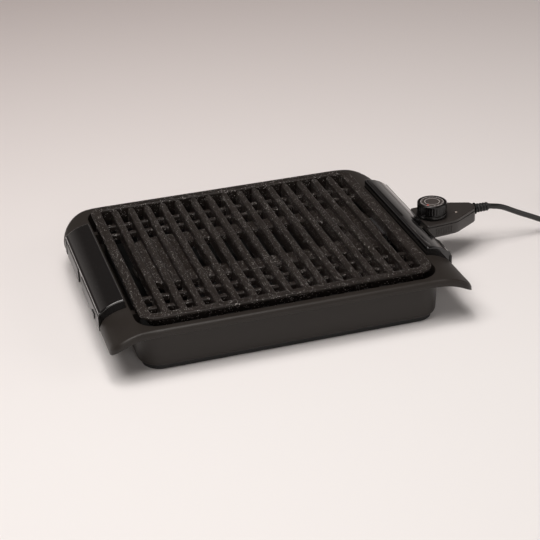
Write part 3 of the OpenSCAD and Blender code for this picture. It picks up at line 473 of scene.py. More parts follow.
def cordLine(s):
    # Free stretch through the listed points, then a flat spiral inwards, one layer up, and outwards
    # again: radius = outer - step * turns done, then inner + step * turns done.
    cx, cy = s["coilCentre"]
    outer = s["coilMean"] + s["step"] * s["turns"] / 2
    inner = s["coilMean"] - s["step"] * s["turns"] / 2
    x, y, z = s["exit"]
    route = [(x + a, y + b, z + c) for a, b, c in s["route"]]
    route += [(x + s["runIn"], cy - outer, s["lay"]), (cx, cy - outer, s["lay"])]
    free = throughPoints(route, 3)
    half = s["turns"] * s["stepsPerTurn"]
    i = np.arange(2 * half + 1)
    a = np.radians(-90 + 360 * i / s["stepsPerTurn"])
    r = np.where(i <= half, outer - s["step"] * i / s["stepsPerTurn"],
                 inner + s["step"] * (i - half) / s["stepsPerTurn"])
    up = np.clip((i - half + s["climb"] / 2) / s["climb"], 0, 1)
    coil = np.stack([cx + r * np.cos(a), cy + r * np.sin(a), s["lay"] + s["step"] * up], -1)
    tail = throughPoints([coil[-1]] + [(cx + p, cy - outer + q, h) for p, q, h in s["tail"]], 3)
    return np.concatenate([free, coil[1:], tail[1:]])


def grooves(a):
    # Two shallow grooves along the cord: 1 - 0.10 exp(-(sin a / 0.22)^2).
    return 1 - 0.10 * np.exp(-(np.sin(a) / 0.22) ** 2)


line = cordLine(lead)
powerCord = makePiece("power_cord_lead", [tubeAlong(line, lead["radius"], 16, grooves)], cordRubber,
                      "controller", ("power_cord", "cord_coil"), "power_cord")


def plugPart(s):
    # Moulded plug: sections |y/a|^n + |z/b|^n = 1 along its own axis, from the cord to the face.
    stations = np.array([  # along, half width a, half height b, power n
        (0.0, 4.4, 4.4, 2.0), (5, 4.7, 4.6, 2.0), (11, 5.8, 5.3, 2.1), (16, 8.6, 6.4, 2.3),
        (20, 11.2, 7.4, 2.7), (25, 12.0, 8.0, 3.2), (29, 11.6, 7.9, 3.4), (31.6, 10.4, 7.2, 3.6),
        (32.2, 9.2, 6.3, 3.8), (33.2, 9.0, 6.0, 4.0), (33.8, 8.6, 5.7, 4.0)])
    along = np.linspace(0, len(stations) - 1, 45)
    pick = np.stack([np.interp(along, np.arange(len(stations)), stations[:, k]) for k in range(4)], -1)
    a = np.linspace(0, 2 * math.pi, 48, endpoint=False)
    c, sn = np.cos(a)[None], np.sin(a)[None]
    power = 2 / pick[:, 3:]
    y = pick[:, 1:2] * np.sign(c) * np.abs(c) ** power
    z = pick[:, 2:3] * np.sign(sn) * np.abs(sn) ** power
    x = np.broadcast_to(pick[:, :1], y.shape)
    t = math.radians(s["plugTurn"])
    turned = [x * math.cos(t) - y * math.sin(t), x * math.sin(t) + y * math.cos(t), z]
    return loft(line[-1] + np.stack(turned, -1))


plug = makePiece("mains_plug_body", [plugPart(lead)], cordRubber, "controller", "plug_body")


def tiePart(s):
    # A flat band with rounded corners carried round the bundle of turns, 8 mm wide.
    cx, cy = s["coilCentre"]
    halfY = s["step"] * s["turns"] / 2 + s["radius"] + 1.6
    halfZ = s["step"] / 2 + s["radius"] + 1.2
    midY, midZ = cy + s["coilMean"], s["lay"] + s["step"] / 2
    c, d = roundedPath(halfY, halfZ, 3, 6)
    band = fillet([(-1, -4), (0, -4), (0, 4), (-1, 4)], 0.3, 2)
    flat = c[:, None] + d[:, None] * (3 + band[None, :, :1])
    x = np.broadcast_to(cx + band[None, :, 1:], flat[..., :1].shape)
    return loft(np.concatenate([x, flat[..., :1] + midY, flat[..., 1:] + midZ], -1), closePath=True)


tie = makePiece("cord_tie_band", [tiePart(lead)], tiePlastic, "controller", "cord_tie")

# Cooking plate
plate = {
    "hx": 178.0, "hy": 159.0, "r": 20.0, "top": 66.0, "rim": 13.0, "rimLow": 50.0, "rimSkirt": 62.0,
    "rimWall": 4.2, "tabY": 111.18, "tabLow": 52.0,
    "bars": 15, "pitch": 21.0, "barTop": 9.0, "barFoot": 11.0, "barRound": 3.4, "barLow": 48.0,
    "front": -150.0, "back": 137.5, "ribRows": (90.0, 116.0), "ribHalf": 4.0, "bedTop": 57.0, "bedLow": 48.0,
    "heatY": 51.2, "band": 27.0, "neckY": 34.0, "termX": 160.0, "rodTip": 128.0, "pinZ": 44.0,
}


def plateRim(s):
    # Upturned channel: rounded inner and outer top edges, carried round the plate.
    t, w = s["top"], s["rimWall"]
    section = fillet([(-w, s["rimSkirt"]), (-0.6, s["rimSkirt"]), (0, t - 3), (0, t), (-s["rim"], t),
                      (-s["rim"], s["rimLow"]), (-s["rim"] + 3, s["rimLow"]), (-s["rim"] + 3, t - 4.5),
                      (-w, t - 4.5)], [0, 0.3, 1.0, 3.2, 2.4, 1.0, 1.0, 1.0, 0], 6)
    return sweepRound(section, s["hx"], s["hy"], s["r"], 14)


def barPart(s, i):
    # A bar's arched section from the front rim to a rounded end: the last sections shrink as
    # sqrt(1 - t^2), where t runs from 0 at the end circle's centre to 1 at its tip.
    t, w, f, low = s["top"], s["barTop"] / 2, s["barFoot"] / 2, s["barLow"]
    half = fillet([(f, low), (w, t), (-w, t), (-f, low)], [0.8, s["barRound"], s["barRound"], 0.8], 7)
    end = np.linspace(0, 1, 9)[:-1] ** 0.8
    y = np.concatenate([[s["front"], -100, -50, 0, 50, 100], s["back"] + f * end, [s["back"] + f * 0.995]])
    k = np.concatenate([np.ones(6), np.sqrt(1 - end ** 2), [0.1]])
    x = i * s["pitch"] + half[None, :, 0] * k[:, None]
    z = np.broadcast_to(half[None, :, 1], x.shape).copy()
    return loft(np.stack([x, np.broadcast_to(y[:, None], x.shape), z], -1))


def ribPart(s, y):
    # A low rib across the plate, from rim to rim under the bars.
    h, t = s["ribHalf"], s["bedTop"]
    section = fillet([(y - h, s["rimLow"]), (y + h, s["rimLow"]), (y + h * 0.9, t), (y - h * 0.9, t)],
                     [0.6, 0.6, 1.6, 1.6], 5)
    ends = (-s["hx"] + s["rim"] - 2, s["hx"] - s["rim"] + 2)
    return loft([np.c_[np.full(len(section), x), section] for x in ends])


def polarRadius(outline, angles):
    # Distance of a star-shaped closed line from the origin at each angle, between points of the line.
    closed = np.concatenate([outline, outline[:1]])
    t = np.linspace(0, 1, 40, endpoint=False)
    p = (closed[:-1, None] + (closed[1:] - closed[:-1])[:, None] * t[None, :, None]).reshape(-1, 2)
    a = np.arctan2(p[:, 1], p[:, 0])
    order = np.argsort(a)
    return np.interp(angles, a[order], np.hypot(p[:, 0], p[:, 1])[order], period=2 * math.pi)


def bedPart(s):
    # Heater bed: between an outer and an inner line, both read at the same angles, with rounded top edges.
    # Its right end is narrower, half a width of neckY, and reaches to the terminals at termX.
    p, y1, y0 = s["pitch"], s["heatY"] + s["band"] / 2, s["heatY"] - s["band"] / 2
    x1, x2, neck = p * 7 + 2, s["termX"], s["neckY"]
    outer = fillet([(-p * 7, -y1), (x1, -y1), (x1, -neck), (x2, -neck), (x2, neck), (x1, neck), (x1, y1),
                    (-p * 7, y1)], [28, 2, 2, 2, 2, 2, 2, 28], 8)
    h = p * 4 + 1.5
    inner = fillet([(-h, -y0), (h, -y0), (h + p, -y0 * 0.6), (h + p * 1.6, -9), (h + p * 1.6, 9),
                    (h + p, y0 * 0.6), (h, y0), (-h, y0)], 3, 4)
    corners = np.concatenate([np.arctan2(v[:, 1], v[:, 0]) for v in (outer, inner)])
    a = np.unique(np.concatenate([np.linspace(-math.pi, math.pi, 361)[:-1], corners]))
    ro, ri = polarRadius(outer, a), polarRadius(inner, a)
    t = s["bedTop"]
    side = [(0.0, s["bedLow"]), (0.0, t - 1.5), (0.5, t - 0.5), (1.5, t)]   # moved in by, height
    rings = []
    for r, z in [(ro - move, z) for move, z in side] + [(ri + move, z) for move, z in side[::-1]]:
        rings.append(np.stack([r * np.cos(a), r * np.sin(a), np.full(len(a), z)], -1))
    return loft(np.swapaxes(np.array(rings), 0, 1), closePath=True)


plateParts = [plateRim(plate), bedPart(plate)]
plateParts += [barPart(plate, i) for i in range(-(plate["bars"] // 2), plate["bars"] // 2 + 1)]
plateParts += [ribPart(plate, sign * y) for y in plate["ribRows"] for sign in (-1, 1)]
for sx in (-1, 1):  # tabs under the rim that stand on the base's ledges
    x0, x1 = sorted((sx * (plate["hx"] - plate["rimWall"]), sx * (plate["hx"] - 1.2)))
    plateParts += [brick((x0, y - 4, plate["tabLow"]), (x1, y + 4, plate["top"] - 4), 0.5)
                   for y in (-plate["tabY"], plate["tabY"])]
for side in (-1, 1):  # the two walls of the sensor's channel
    plateParts.append(brick((plate["rodTip"] - 6, min(side * 3.7, side * 7), plate["pinZ"] - 3.5),
                            (plate["termX"] - 2, max(side * 3.7, side * 7), plate["bedLow"] + 0.2), 0.5))
makePiece("cooking_plate", plateParts, plateCoat, "plate", "grill_plate")
print("plate ready")

# Base housing
base = {
    "inX": 183.0, "inY": 166.0, "wall": 3.0, "r": 30.0, "draft": 2.5, "rim": 59.0, "low": 6.0, "floor": 9.0,
    "footRound": 5.0, "earX": 219.0, "lipY": 177.0, "earR": 55.0, "tipR": 13.0, "earOut": 3.0, "nickR": 3.0,
    "archX": 180.0, "archR": 57.0, "flange": 3.0, "lip": 9.0, "seatLip": 6.0, "roll": 5.5, "seat": 109.3,
    "ledgeY": 111.18, "ledgeTop": 52.0, "port": 22.5, "portLow": 36.0, "portHigh": 51.0,
    "bossAt": (115.85, 106.75, 8.99),
}


def rimOutline(s):
    # Outline from above, counterclockwise: round back corners, and front ears whose front edge swells
    # outwards by earOut (1 - cos a) / 2 towards each tip.
    tipX, tipY = s["earX"] - s["tipR"], -(s["lipY"] + s["earOut"] - s["tipR"])
    a = np.radians(np.linspace(0, 180, 25))
    x = s["inX"] - 17 + (tipX - s["inX"] + 17) * np.linspace(0, 1, 25)
    swell = np.stack([x, -(s["lipY"] + s["earOut"] * (1 - np.cos(a)) / 2)], -1)
    right = np.concatenate([swell, arcPoints(tipX, tipY, s["tipR"], -80, 0, 10),
                            arcPoints(s["earX"] - s["earR"], s["lipY"] - s["earR"], s["earR"], 0, 90, 24)])
    left = right[::-1] * [-1, 1]
    return np.concatenate([right, left])


def reach(origin, direction, outline):
    # Farthest crossing of each ray with a closed line: solves o + t d = p + u (q - p) for 0 <= u <= 1.
    p, q = outline, np.roll(outline, -1, 0)
    e = (q - p)[None]
    w = p[None] - origin[:, None]
    cross = direction[:, None, 0] * e[..., 1] - direction[:, None, 1] * e[..., 0]
    cross = np.where(np.abs(cross) < 1e-9, 1e-9, cross)
    t = (w[..., 0] * e[..., 1] - w[..., 1] * e[..., 0]) / cross
    u = (w[..., 0] * direction[:, None, 1] - w[..., 1] * direction[:, None, 0]) / cross
    return np.where((u >= -1e-6) & (u <= 1 + 1e-6) & (t > 0), t, 0).max(1)


def archHeight(s, x):
    # Rim's top: level to archX, then round a cylinder: z = rim - R + sqrt(R^2 - (|x| - archX)^2).
    over = np.clip(np.abs(x) - s["archX"], 0, s["archR"] - 1)
    return s["rim"] - s["archR"] + np.sqrt(s["archR"] ** 2 - over ** 2)


def rimPart(s):
    # At each station the section runs outwards over the flange, rolls down over the lip and comes back
    # underneath; heights follow the arch. Where the handles sit, the flange stops at the tub's wall.
    # Beside it, the ear's corner is a quarter circle:
    # x = earX - nickR + sqrt(nickR^2 - (seat + nickR - |y|)^2).
    beside = s["seat"] + 0.01 + s["nickR"] * (1 - np.cos(np.radians(np.linspace(0, 90, 9))))
    half = np.concatenate([[s["seat"] - 0.01], beside, [121, 126, 131]])
    ys = np.concatenate([-half[::-1], [0], half])
    c, d = roundedPath(s["inX"], s["inY"], s["r"] - s["wall"], 48, ys)
    start = s["r"] - s["wall"]
    total = reach(c, d, rimOutline(s)) - start
    level = np.abs(d[:, 1]) < 1e-6
    toNick = np.clip(s["seat"] + s["nickR"] - np.abs(c[:, 1]), 0, s["nickR"])
    nickX = s["earX"] - s["nickR"] + np.sqrt(s["nickR"] ** 2 - toNick ** 2)
    total = np.where(level, np.minimum(total, nickX - s["inX"]), total)
    seat = (np.abs(c[:, 1]) < s["seat"]) & level
    total = np.where(seat, s["wall"], total)
    roll = np.minimum(s["roll"], total * 0.45)
    back = np.minimum(s["flange"], total * 0.5)
    drop = np.where(seat, s["seatLip"], s["lip"])
    flat, under = 0 * total, s["flange"] + 0 * total
    # steps: distance from the opening's edge, and depth below the arch
    steps = [((total - roll) * f, flat) for f in np.linspace(0, 1, 12)]
    steps += [(total - roll + roll * math.sin(t), roll * (1 - math.cos(t)))
              for t in np.linspace(0, math.pi / 2, 8)[1:]]
    steps += [(total, drop - 1.0), (total - 0.3 * back, drop - 0.3), (total - 0.5 * back, drop),
              (total - 0.8 * back, drop - 0.2), (total - back, drop - 0.8),
              (total - back, np.maximum(roll, s["flange"] + 1.2)), (np.maximum(total - back - 1.2, 0), under),
              (total * 0.4, under), (flat, under)]
    out, fall = (np.array(v).T for v in zip(*steps))
    xy = c[:, None] + d[:, None] * (start + out[..., None])
    z = archHeight(s, xy[..., 0]) - fall
    return loft(np.concatenate([xy, z[..., None]], -1), closePath=True)


def tubPart(s):
    # Stacked rounded-rectangle lines from the inner floor up the inner wall, over the edge, down the
    # outer wall and round under the floor; the window for the controller's nose is left out and framed.
    def lean(z):
        return -s["draft"] * (s["rim"] - z) / (s["rim"] - s["low"])
    marks = [-s["port"], -8, 8, s["port"]]
    c, d = roundedPath(s["inX"] + s["wall"], s["inY"] + s["wall"], s["r"], 20, marks)
    q, f = s["footRound"], s["floor"]
    a = np.radians(np.linspace(0, 90, 7))
    line = [(-14.0, f)]
    line += [(-s["wall"] + lean(f) - 4 + 4 * math.sin(t), f + 4 * (1 - math.cos(t))) for t in a]
    inner0 = len(line)
    line += [(-s["wall"] + lean(z), z) for z in (s["portLow"], s["portHigh"], s["rim"] - 0.6)]
    line += [(lean(z), z) for z in (s["rim"] - 0.6, s["portHigh"], s["portLow"])]
    outer0 = len(line) - 1
    line += [(lean(s["low"]) - q + q * math.cos(t), s["low"] + q * (1 - math.sin(t))) for t in a]
    line += [(-14.0, s["low"])]
    line = np.array(line)
    n = len(c)
    flat = c[None] + d[None] * (s["r"] + line[:, None, :1])
    rings = np.concatenate([flat, np.broadcast_to(line[:, None, 1:], flat[..., :1].shape)], -1)
    pts, (quads, cap0, cap1) = loft(rings)
    inWindow = (np.abs(c[:, 1]) <= s["port"] + 0.1) & (d[:, 0] > 0.999)
    k = np.flatnonzero(inWindow)
    for first in (inner0, outer0 - 1):   # faces with all four points in the window's columns and two rows
        inside = np.isin(quads % n, k).all(1) & np.isin(quads // n, [first, first + 1]).all(1)
        quads = quads[~inside]
    lo, hi, outLo, outHi = inner0, inner0 + 1, outer0, outer0 - 1
    loopIn = np.concatenate([lo * n + k, hi * n + k[::-1]])
    loopOut = np.concatenate([outLo * n + k, outHi * n + k[::-1]])
    frameFaces = np.stack([loopIn, np.roll(loopIn, -1), np.roll(loopOut, -1), loopOut], -1)
    return pts, [quads, frameFaces, cap0, cap1]


def ledgePart(s, sx, y):
    # Bracket on the wall that the plate's skirt rests on.
    x0, x1, z1 = s["inX"] + 1, s["inX"] - 11.5, s["ledgeTop"]
    side = fillet([(x0, 24), (x0, z1), (x1, z1), (x1, z1 - 8)], [0, 0, 0.8, 0.8], 3)
    return loft([acrossDepth(side, v, sx) for v in (y - 5, y + 5)])


baseParts = [rimPart(base), tubPart(base)]
baseParts += [ledgePart(base, sx, y) for sx in (-1, 1) for y in (-base["ledgeY"], base["ledgeY"])]
bossX, bossY, bossZ = base["bossAt"]   # low bosses on the floor over the plinth's screws
baseParts += [lathe([(7, 0), (7, 1.6), (6.6, 2.0)], (sx * bossX, sy * bossY, bossZ), 32)
              for sx in (-1, 1) for sy in (-1, 1)]
makePiece("grill_base", baseParts, housingPlastic, "base", "base_housing")
print("base ready")

# Handle covers
cover = {
    "x0": 187.0, "x1": 218.5, "cx": 184.7, "cz": 20.0, "r": 49.0, "half": 109.0, "thick": 2.5, "edge": 1.8,
    "end": 2.2, "lift": 3.3, "skirtTop": 52.8, "notch": (-74.0, -14.0), "notchX": 204.0,
}


def coverSection(s, xOut, drop, solid):
    # Vault over x0 to xOut: z = cz - drop + sqrt(r^2 - (x - cx)^2) with both edges rounded. Its inside is
    # thick below, or the arch of the rim where the end wall is solid. Its outer wall ends over the skirt.
    e, t = s["edge"], s["thick"]

    def vault(x, r):
        return s["cz"] - drop + np.sqrt(np.maximum(r * r - (x - s["cx"]) ** 2, 1))

    def bed(x):
        return archHeight(base, x) - s["lift"]

    full = xOut > s["x1"] - 1
    inner, footZ = (xOut - t - 0.3, s["skirtTop"]) if full else (xOut - t, float(bed(xOut)))
    x = np.linspace(s["x0"] + e, xOut - e, 26)
    a = np.radians(np.linspace(0, 90, 7))
    z0, z1 = vault(x[0], s["r"]), vault(x[-1], s["r"])
    left = np.c_[x[0] - e * np.cos(a[:-1]), z0 - e + e * np.sin(a[:-1])]
    right = np.c_[x[-1] + e * np.cos(a[-2::-1]), np.maximum(z1 - e + e * np.sin(a[-2::-1]), footZ + 0.2)]
    under = np.linspace(inner, s["x0"] + t, 16)
    below = bed(under) if solid else np.maximum(vault(under, s["r"] - t), bed(under))
    first, last = ([[v, float(bed(v))]] for v in (s["x0"], s["x0"] + t))
    return np.concatenate([first, left, np.c_[x, vault(x, s["r"])], right, [[xOut, footZ], [inner, footZ]],
                           np.c_[under, below], last])


def coverPart(s, sx, notched):
    # Sections along the depth. Both ends are closed by a wall and rounded: the skin is lowered by
    # end (1 - cos a) where the end face is end (1 - sin a) away. The notch moves the outer edge in.
    e, h = s["end"], s["half"]
    a = np.radians(np.linspace(90, 0, 9))
    y, drop = -h + e * (1 - np.sin(a)), e * (1 - np.cos(a))
    wall = -h + s["thick"]
    rows = [(v, s["x1"], d, True) for v, d in zip(y, drop) if v < wall]
    d = float(np.interp(wall, y, drop))
    rows += [(wall, s["x1"], d, True), (wall + 0.01, s["x1"], d, False)]
    rows += [(v, s["x1"], d, False) for v, d in zip(y, drop) if v > wall + 0.01]
    far = [(-v, x, d, solid) for v, x, d, solid in rows[::-1]]
    if notched:
        n0, n1 = s["notch"]
        rows += [(n0, s["x1"], 0, False), (n0 + 0.02, s["notchX"], 0, False), (n1, s["notchX"], 0, False),
                 (n1 + 0.02, s["x1"], 0, False)]
    return loft([acrossDepth(coverSection(s, xOut, d, solid), v, sx) for v, xOut, d, solid in rows + far])


makePiece("cover_left", [coverPart(cover, -1, False)], coverGloss, "base", "left_handle_cover")
makePiece("cover_right", [coverPart(cover, 1, True)], coverGloss, "base", "right_handle_cover")
print("covers ready")

# Heat controller
control = {
    "x0": 219.9, "x1": 300.9, "half": 29.5, "z0": 36.5, "z1": 56.5, "split": 52.0, "seam": 0.7,
    "turn": 256.4, "bend": 25.0, "taper": 28.5, "endR": 12.0, "skew": 0.1, "crown": 300.0,
    "lensX": 270.4, "lensY": -4.0, "lensR": 1.5, "reliefY": 8.1, "reliefZ": 50.5, "reliefEnd": 321.9,
    "ribs": 10, "ribStart": 14.0, "ribStep": 2.4, "ribLow": 39.3, "ribHigh": 49.2,
}


def controlOutline(s, d):
    # Each side is straight, bends by taper on an arc, runs straight and ends on a small arc; the end arc's
    # centre is where the tilted line touches both arcs. The whole line then leans by skew (x - x0).
    t = math.radians(s["taper"])
    middle = s["half"] - s["bend"]
    endY = (s["turn"] * math.sin(t) + middle * math.cos(t) + s["bend"] - s["endR"]
            - (s["x1"] - s["endR"]) * math.sin(t)) / math.cos(t)
    line = np.concatenate([[(s["x0"] + d, s["half"] - d)],
                           arcPoints(s["turn"], middle, s["bend"] - d, 90, 90 - s["taper"], 8),
                           arcPoints(s["x1"] - s["endR"], endY, s["endR"] - d, 90 - s["taper"], 0, 12)])
    line = np.concatenate([line, line[::-1] * [1, -1]])[::-1]
    line[:, 1] += s["skew"] * (line[:, 0] - s["x0"])
    return line


def shellPart(s, d, z0, z1, low, high, crowned):
    # Outline pushed up with rounded edges; a crowned top falls off as z1 - (R - sqrt(R^2 - y^2)).
    corners = controlOutline(s, d)
    line = fillet(corners, np.where(np.isclose(corners[:, 0], s["x0"] + d), 2.5, 0), 4)
    pts, faces = slab(line, z0, z1, low, high, 6)
    if crowned:
        share = np.clip((pts[:, 2] - z0) / (z1 - z0), 0, 1)
        pts[:, 2] -= share * (s["crown"] - np.sqrt(s["crown"] ** 2 - pts[:, 1] ** 2))
    return pts, faces


def ribPieces(s):
    # Upright grip ribs on both sides, each set on the leaning wall at y = side * half + skew (x - x0).
    parts = []
    for side in (-1, 1):
        for i in range(s["ribs"]):
            x = s["x0"] + s["ribStart"] + i * s["ribStep"]
            lean = s["skew"] * (x - s["x0"])
            y0, y1 = sorted((side * (s["half"] - 0.4) + lean, side * (s["half"] + 0.58) + lean))
            parts.append(brick((x - 0.6, y0, s["ribLow"]), (x + 0.6, y1, s["ribHigh"]), 0.25))
    return parts


seamLow, seamHigh = control["split"] - control["seam"] / 2, control["split"] + control["seam"] / 2
lowerShell = shellPart(control, 0.0, control["z0"], seamLow, 1.6, 0.3, False)
makePiece("controller_lower", [lowerShell] + ribPieces(control), controllerPlastic, "controller",
          "controller_lower_shell")
upperShell = shellPart(control, 0.4, seamHigh, control["z1"], 0.3, 1.1, True)
makePiece("controller_upper", [upperShell], controllerPlastic, "controller", "controller_upper_shell")

lensMaterial = plasticMaterial("lensMaterial", (0.34, 0.29, 0.26), rough=0.2, spread=0.03, bump=0.02,
                               coat=0.3)
lampGlass = plasticMaterial("lampGlass", (0.80, 0.35, 0.12), rough=0.1, coat=0.5, bump=0.02)


def lensPart(s):
    # Small domed light pipe on a flange under the top.
    r = s["lensR"]
    profile = [(0.01, 0), (r + 1, 0), (r + 1, 1.1), (r, 1.1), (r, 3.7), (r * 0.85, 4.0), (r * 0.5, 4.17),
               (0.01, 4.2)]
    return lathe(profile, (s["lensX"], s["lensY"], s["z1"] - 4.2), 40)


def bulbPart(s):
    # Glass tube with a half-round end: radius 2.3 sqrt(1 - t^2), t from 0 to 1 over its last 2.3 mm.
    x = np.linspace(0, 13.3, 18)
    r = 2.3 * np.sqrt(np.clip(1 - (np.clip(x - 11, 0, 2.29) / 2.3) ** 2, 0.002, 1))
    return tubeAlong(np.stack([s["lensX"] - 7 + x, 0 * x + s["lensY"], 0 * x + s["z1"] - 6.6], -1), r, 20)


makePiece("indicator_window", [lensPart(control)], lensMaterial, "controller", "indicator_lens")
makePiece("lamp_bulb", [bulbPart(control)], lampGlass, "controller", "neon_lamp")


def reliefPart(s):
    # Turned on its own axis from a profile of (radius, distance): a collar, then four rings with rounded
    # shoulders on a tapering core, r = 4.4 - 0.4 x / length.
    length = s["reliefEnd"] - s["x1"]
    profile = [(0.01, -4), (3.7, -4), (3.7, 0), (7.2, 0), (7.6, 0.4), (7.6, 1.2), (7.2, 1.6), (4.4, 1.6)]
    for k in range(4):
        x, r = 4 + 4.1 * k, 6 - 0.1 * k
        core = 4.4 - 0.4 * x / length
        arc = [(0.6 * math.sin(t), 0.6 * math.cos(t)) for t in np.radians([0, 30, 60, 90])]
        profile += [(core, x)] + [(r - 0.6 + p, x + 0.6 - q) for p, q in arc]
        profile += [(r - 0.6 + q, x + 1.9 + p) for p, q in arc] + [(core, x + 2.5)]
    profile += [(4.02, length - 0.4), (3.65, length), (0.01, length)]
    pts, faces = lathe(profile, (0, 0, 0), 48)
    return pts[:, [2, 0, 1]] + [s["x1"], s["reliefY"], s["reliefZ"]], faces


makePiece("cord_strain_relief", [reliefPart(control)], reliefRubber, "controller", "strain_relief")
print("controller ready")

# Knob
knob = {
    "at": (238.4, 0.0, 56.8), "r": 19.0, "h": 18.0, "flutes": 30, "fluteDepth": 0.4,
    "dial": 14.85, "dialZ": 73.6, "turned": (11.6, 8.0), "rings": [(9.4, 0.7), (14.4, 0.5)],
    "markAngle": -137.0, "strokes": 15, "strokeStep": 20, "strokeFrom": (12.2, 12.9, 12.9), "strokeTo": 14.2,
    "strokeHalf": 0.28, "red": [(11.2, -1.5), (14.2, -0.9), (14.2, 0.9), (11.2, 1.5)],
}


def knobPart(s):
    # Turned profile with a foot ring, a waist and a dished top; flutes take depth * (0.5 + 0.5 cos(n a))^2
    # off the radius between the waist and the top edge.
    r, h = s["r"], s["h"]
    profile = [(0.01, 2), (12, 2), (12, 0), (r + 0.3, 0), (r + 0.8, 0.5), (r + 0.8, 3.2), (r + 0.5, 3.8),
               (r - 0.7, 4.1), (r - 0.8, 5.0), (r - 0.1, 5.5)]
    profile += [(r, z) for z in np.linspace(6, h - 2.2, 9)]
    profile += arcPoints(r - 1.5, h - 1.5, 1.5, 8, 90, 7).tolist()
    profile += [(r - 3.2, h), (r - 3.9, h - 0.35), (r - 4.0, h - 1.2), (0.01, h - 1.2)]

    def ripple(a, z):
        window = np.clip((z - 5.2) / 0.8, 0, 1) * np.clip((h - 2.0 - z) / 1.0, 0, 1)
        return -s["fluteDepth"] * window * (0.5 + 0.5 * np.cos(s["flutes"] * a)) ** 2
    return lathe(profile, s["at"], s["flutes"] * 10, ripple)


makePiece("heat_knob", [knobPart(knob)], knobPlastic, "knob", "temperature_knob")
dialPlastic = plasticMaterial("dialPlastic", (0.046, 0.039, 0.036), rough=0.35, bump=0.05)
markPaint = plasticMaterial("markPaint", (0.42, 0.39, 0.38), rough=0.5, bump=0.02)
redPaint = plasticMaterial("redPaint", (0.55, 0.045, 0.03), rough=0.4, spread=0.05, bump=0.02)


def dialPart(s):
    # Disc with two fine turned rings, 0.3 deep, each a notch of the profile.
    r = s["dial"]
    p = [(0.01, 0), (r, 0), (r, 0.75), (r - 0.25, 1.0)]
    for ring in s["turned"]:
        p += [(ring + 0.05, 1.0), (ring - 0.1, 0.65), (ring - 0.7, 0.65), (ring - 0.85, 1.0)]
    return lathe(p + [(0.01, 1.0)], (s["at"][0], s["at"][1], s["dialZ"]), 96)


def onDial(s, corners, degrees):
    # Corners laid out along x are turned by an angle and moved to the knob's axis.
    t = math.radians(degrees)
    turn = np.array([[math.cos(t), math.sin(t)], [-math.sin(t), math.cos(t)]])
    return np.asarray(corners) @ turn + s["at"][:2]


def dialMarks(s):
    # Short raised strokes on a circle, the first of each three longer, and the printed circles.
    parts = []
    z0, z1, w = s["dialZ"] + 0.95, s["dialZ"] + 1.05, s["strokeHalf"]
    for k in range(s["strokes"]):
        r0, r1 = s["strokeFrom"][k % 3], s["strokeTo"]
        c = onDial(s, [(r0, -w), (r1, -w), (r1, w), (r0, w)], s["markAngle"] + 40 + s["strokeStep"] * k)
        parts.append(slab(c, z0, z1))
    return parts + [flatRing(s, r, width, z0, z1) for r, width in s["rings"]]


def flatRing(s, r, width, z0, z1):
    # Its rectangular section, from r - width / 2 to r + width / 2, goes round the knob's axis.
    r0, r1 = r - width / 2, r + width / 2
    section = np.array([(r0, z0), (r1, z0), (r1, z1), (r0, z1)])
    a = np.linspace(0, 2 * math.pi, 72, endpoint=False)
    x, y = (s["at"][k] + section[None, :, 0] * f(a)[:, None] for k, f in ((0, np.cos), (1, np.sin)))
    return loft(np.stack([x, y, np.broadcast_to(section[None, :, 1], x.shape)], -1), closePath=True)


def redMark(s):
    # Pointer that narrows towards the dial's edge.
    return slab(onDial(s, fillet(s["red"], 0.3, 3), s["markAngle"]), s["dialZ"] + 0.95, s["dialZ"] + 1.08)


makePiece("knob_dial_disc", [dialPart(knob)], dialPlastic, "knob", "knob_dial")
makePiece("dial_strokes", dialMarks(knob), markPaint, "knob", (), "knob_dial")
makePiece("dial_red_mark", [redMark(knob)], redPaint, "knob", (), "knob_dial")
print("knob ready")

# Stage and light
studio = {
    # all lengths here are in metres; the floor's paint goes from the floor colour to the far one between the
    # two y values after them, painted shade that makes the floor darker and warmer towards the back, where
    # less light falls; fade the height of the sky's
    "floor": (0.80, 0.785, 0.78), "far": (0.74, 0.665, 0.65), "falloffSpan": (-0.3, 1.6), "size": 24.0,
    "horizon": (0.42, 0.385, 0.365), "above": (0.045, 0.038, 0.035), "fade": (0.10, 0.40),
    "lampColour": (1.0, 0.955, 0.925),
    # name: place, target, size, watts
    "lamps": {
        "overhead": ((-0.5, -0.3, 2.15), (0, -0.1, 0), (1.8, 1.8), 51),
        "glint": ((-0.1, -0.05, 2.1), (0, 0, 0), (0.3, 0.3), 5),
        "frontFill": ((-0.4, -2.7, 1.3), (0, 0, 0.05), (1.6, 1.2), 12),
        "rightFill": ((2.4, -1.2, 1.3), (0, 0, 0.05), (1.6, 1.6), 12),
    },
}


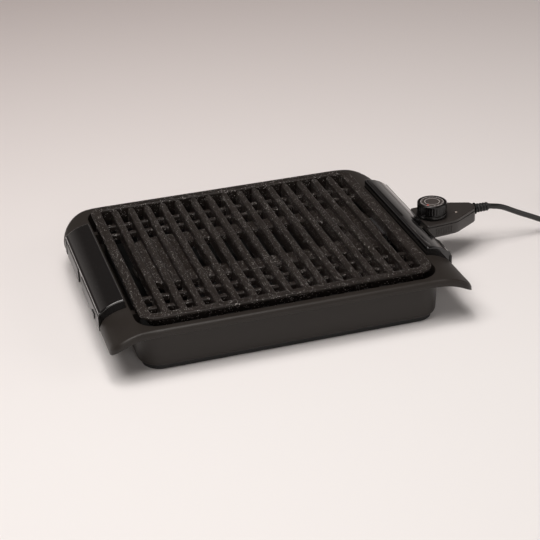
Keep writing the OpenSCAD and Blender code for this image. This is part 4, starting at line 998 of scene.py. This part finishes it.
def addWorld(s):
    # Pale near the horizon and dim overhead, by the height of the direction looked in.
    world = bpy.data.worlds.new("studio")
    world.use_nodes = True
    tree = world.node_tree
    co = addNode(tree, "ShaderNodeTexCoord").outputs["Generated"]
    height = addNode(tree, "ShaderNodeSeparateXYZ", None, {"Vector": co}).outputs["Z"]
    sky = mixColour(tree, ramp(tree, height, *s["fade"]), s["horizon"], s["above"])
    tree.links.new(sky, tree.nodes["Background"].inputs["Color"])
    bpy.context.scene.world = world


def addStage(s):
    # A level floor, size by size, built as a small grid of its two directions.
    u = np.linspace(-s["size"] / 2, s["size"] / 2, 5)
    pts = np.stack([*np.meshgrid(u, u, indexing="ij"), np.zeros((5, 5))], -1)
    mesh = bpy.data.meshes.new("studio_floor")
    mesh.from_pydata(pts.reshape(-1, 3).tolist(), [], gridFaces(5, 5)[:, ::-1].tolist())
    m, tree, shader = newMaterial("floorPaintedFalloff")
    co = addNode(tree, "ShaderNodeTexCoord").outputs["Object"]
    depth = addNode(tree, "ShaderNodeSeparateXYZ", None, {"Vector": co}).outputs["Y"]
    # Painted shade: the floor's colour goes darker and warmer from the near colour to the far one along y,
    # standing in for light that falls off towards the back.
    paintedFalloffTint = mixColour(tree, ramp(tree, depth, *s["falloffSpan"]), s["floor"], s["far"])
    tree.links.new(paintedFalloffTint, shader.inputs["Base Color"])
    shader.inputs["Roughness"].default_value = 0.55
    shader.inputs["Specular IOR Level"].default_value = 0.25
    mesh.materials.append(m)
    obj = bpy.data.objects.new("studio_floor", mesh)
    bpy.context.scene.collection.objects.link(obj)
    for name, (place, target, size, watts) in s["lamps"].items():
        data = bpy.data.lights.new(name, "AREA")
        data.shape = "RECTANGLE"
        data.size, data.size_y = size
        data.energy = watts
        data.color = s["lampColour"]
        lamp = bpy.data.objects.new(name, data)
        back = np.array(place, float) - np.array(target, float)
        back /= np.linalg.norm(back)
        side = np.cross([0, 0, 1], back)
        side /= np.linalg.norm(side)
        matrix = np.eye(4)
        matrix[:3, :3] = np.array([side, np.cross(back, side), back]).T
        matrix[:3, 3] = place
        lamp.matrix_world = Matrix(matrix.tolist())
        bpy.context.scene.collection.objects.link(lamp)


addWorld(studio)
addStage(studio)
bpy.context.scene.view_settings.view_transform = "Standard"
print("stage ready")
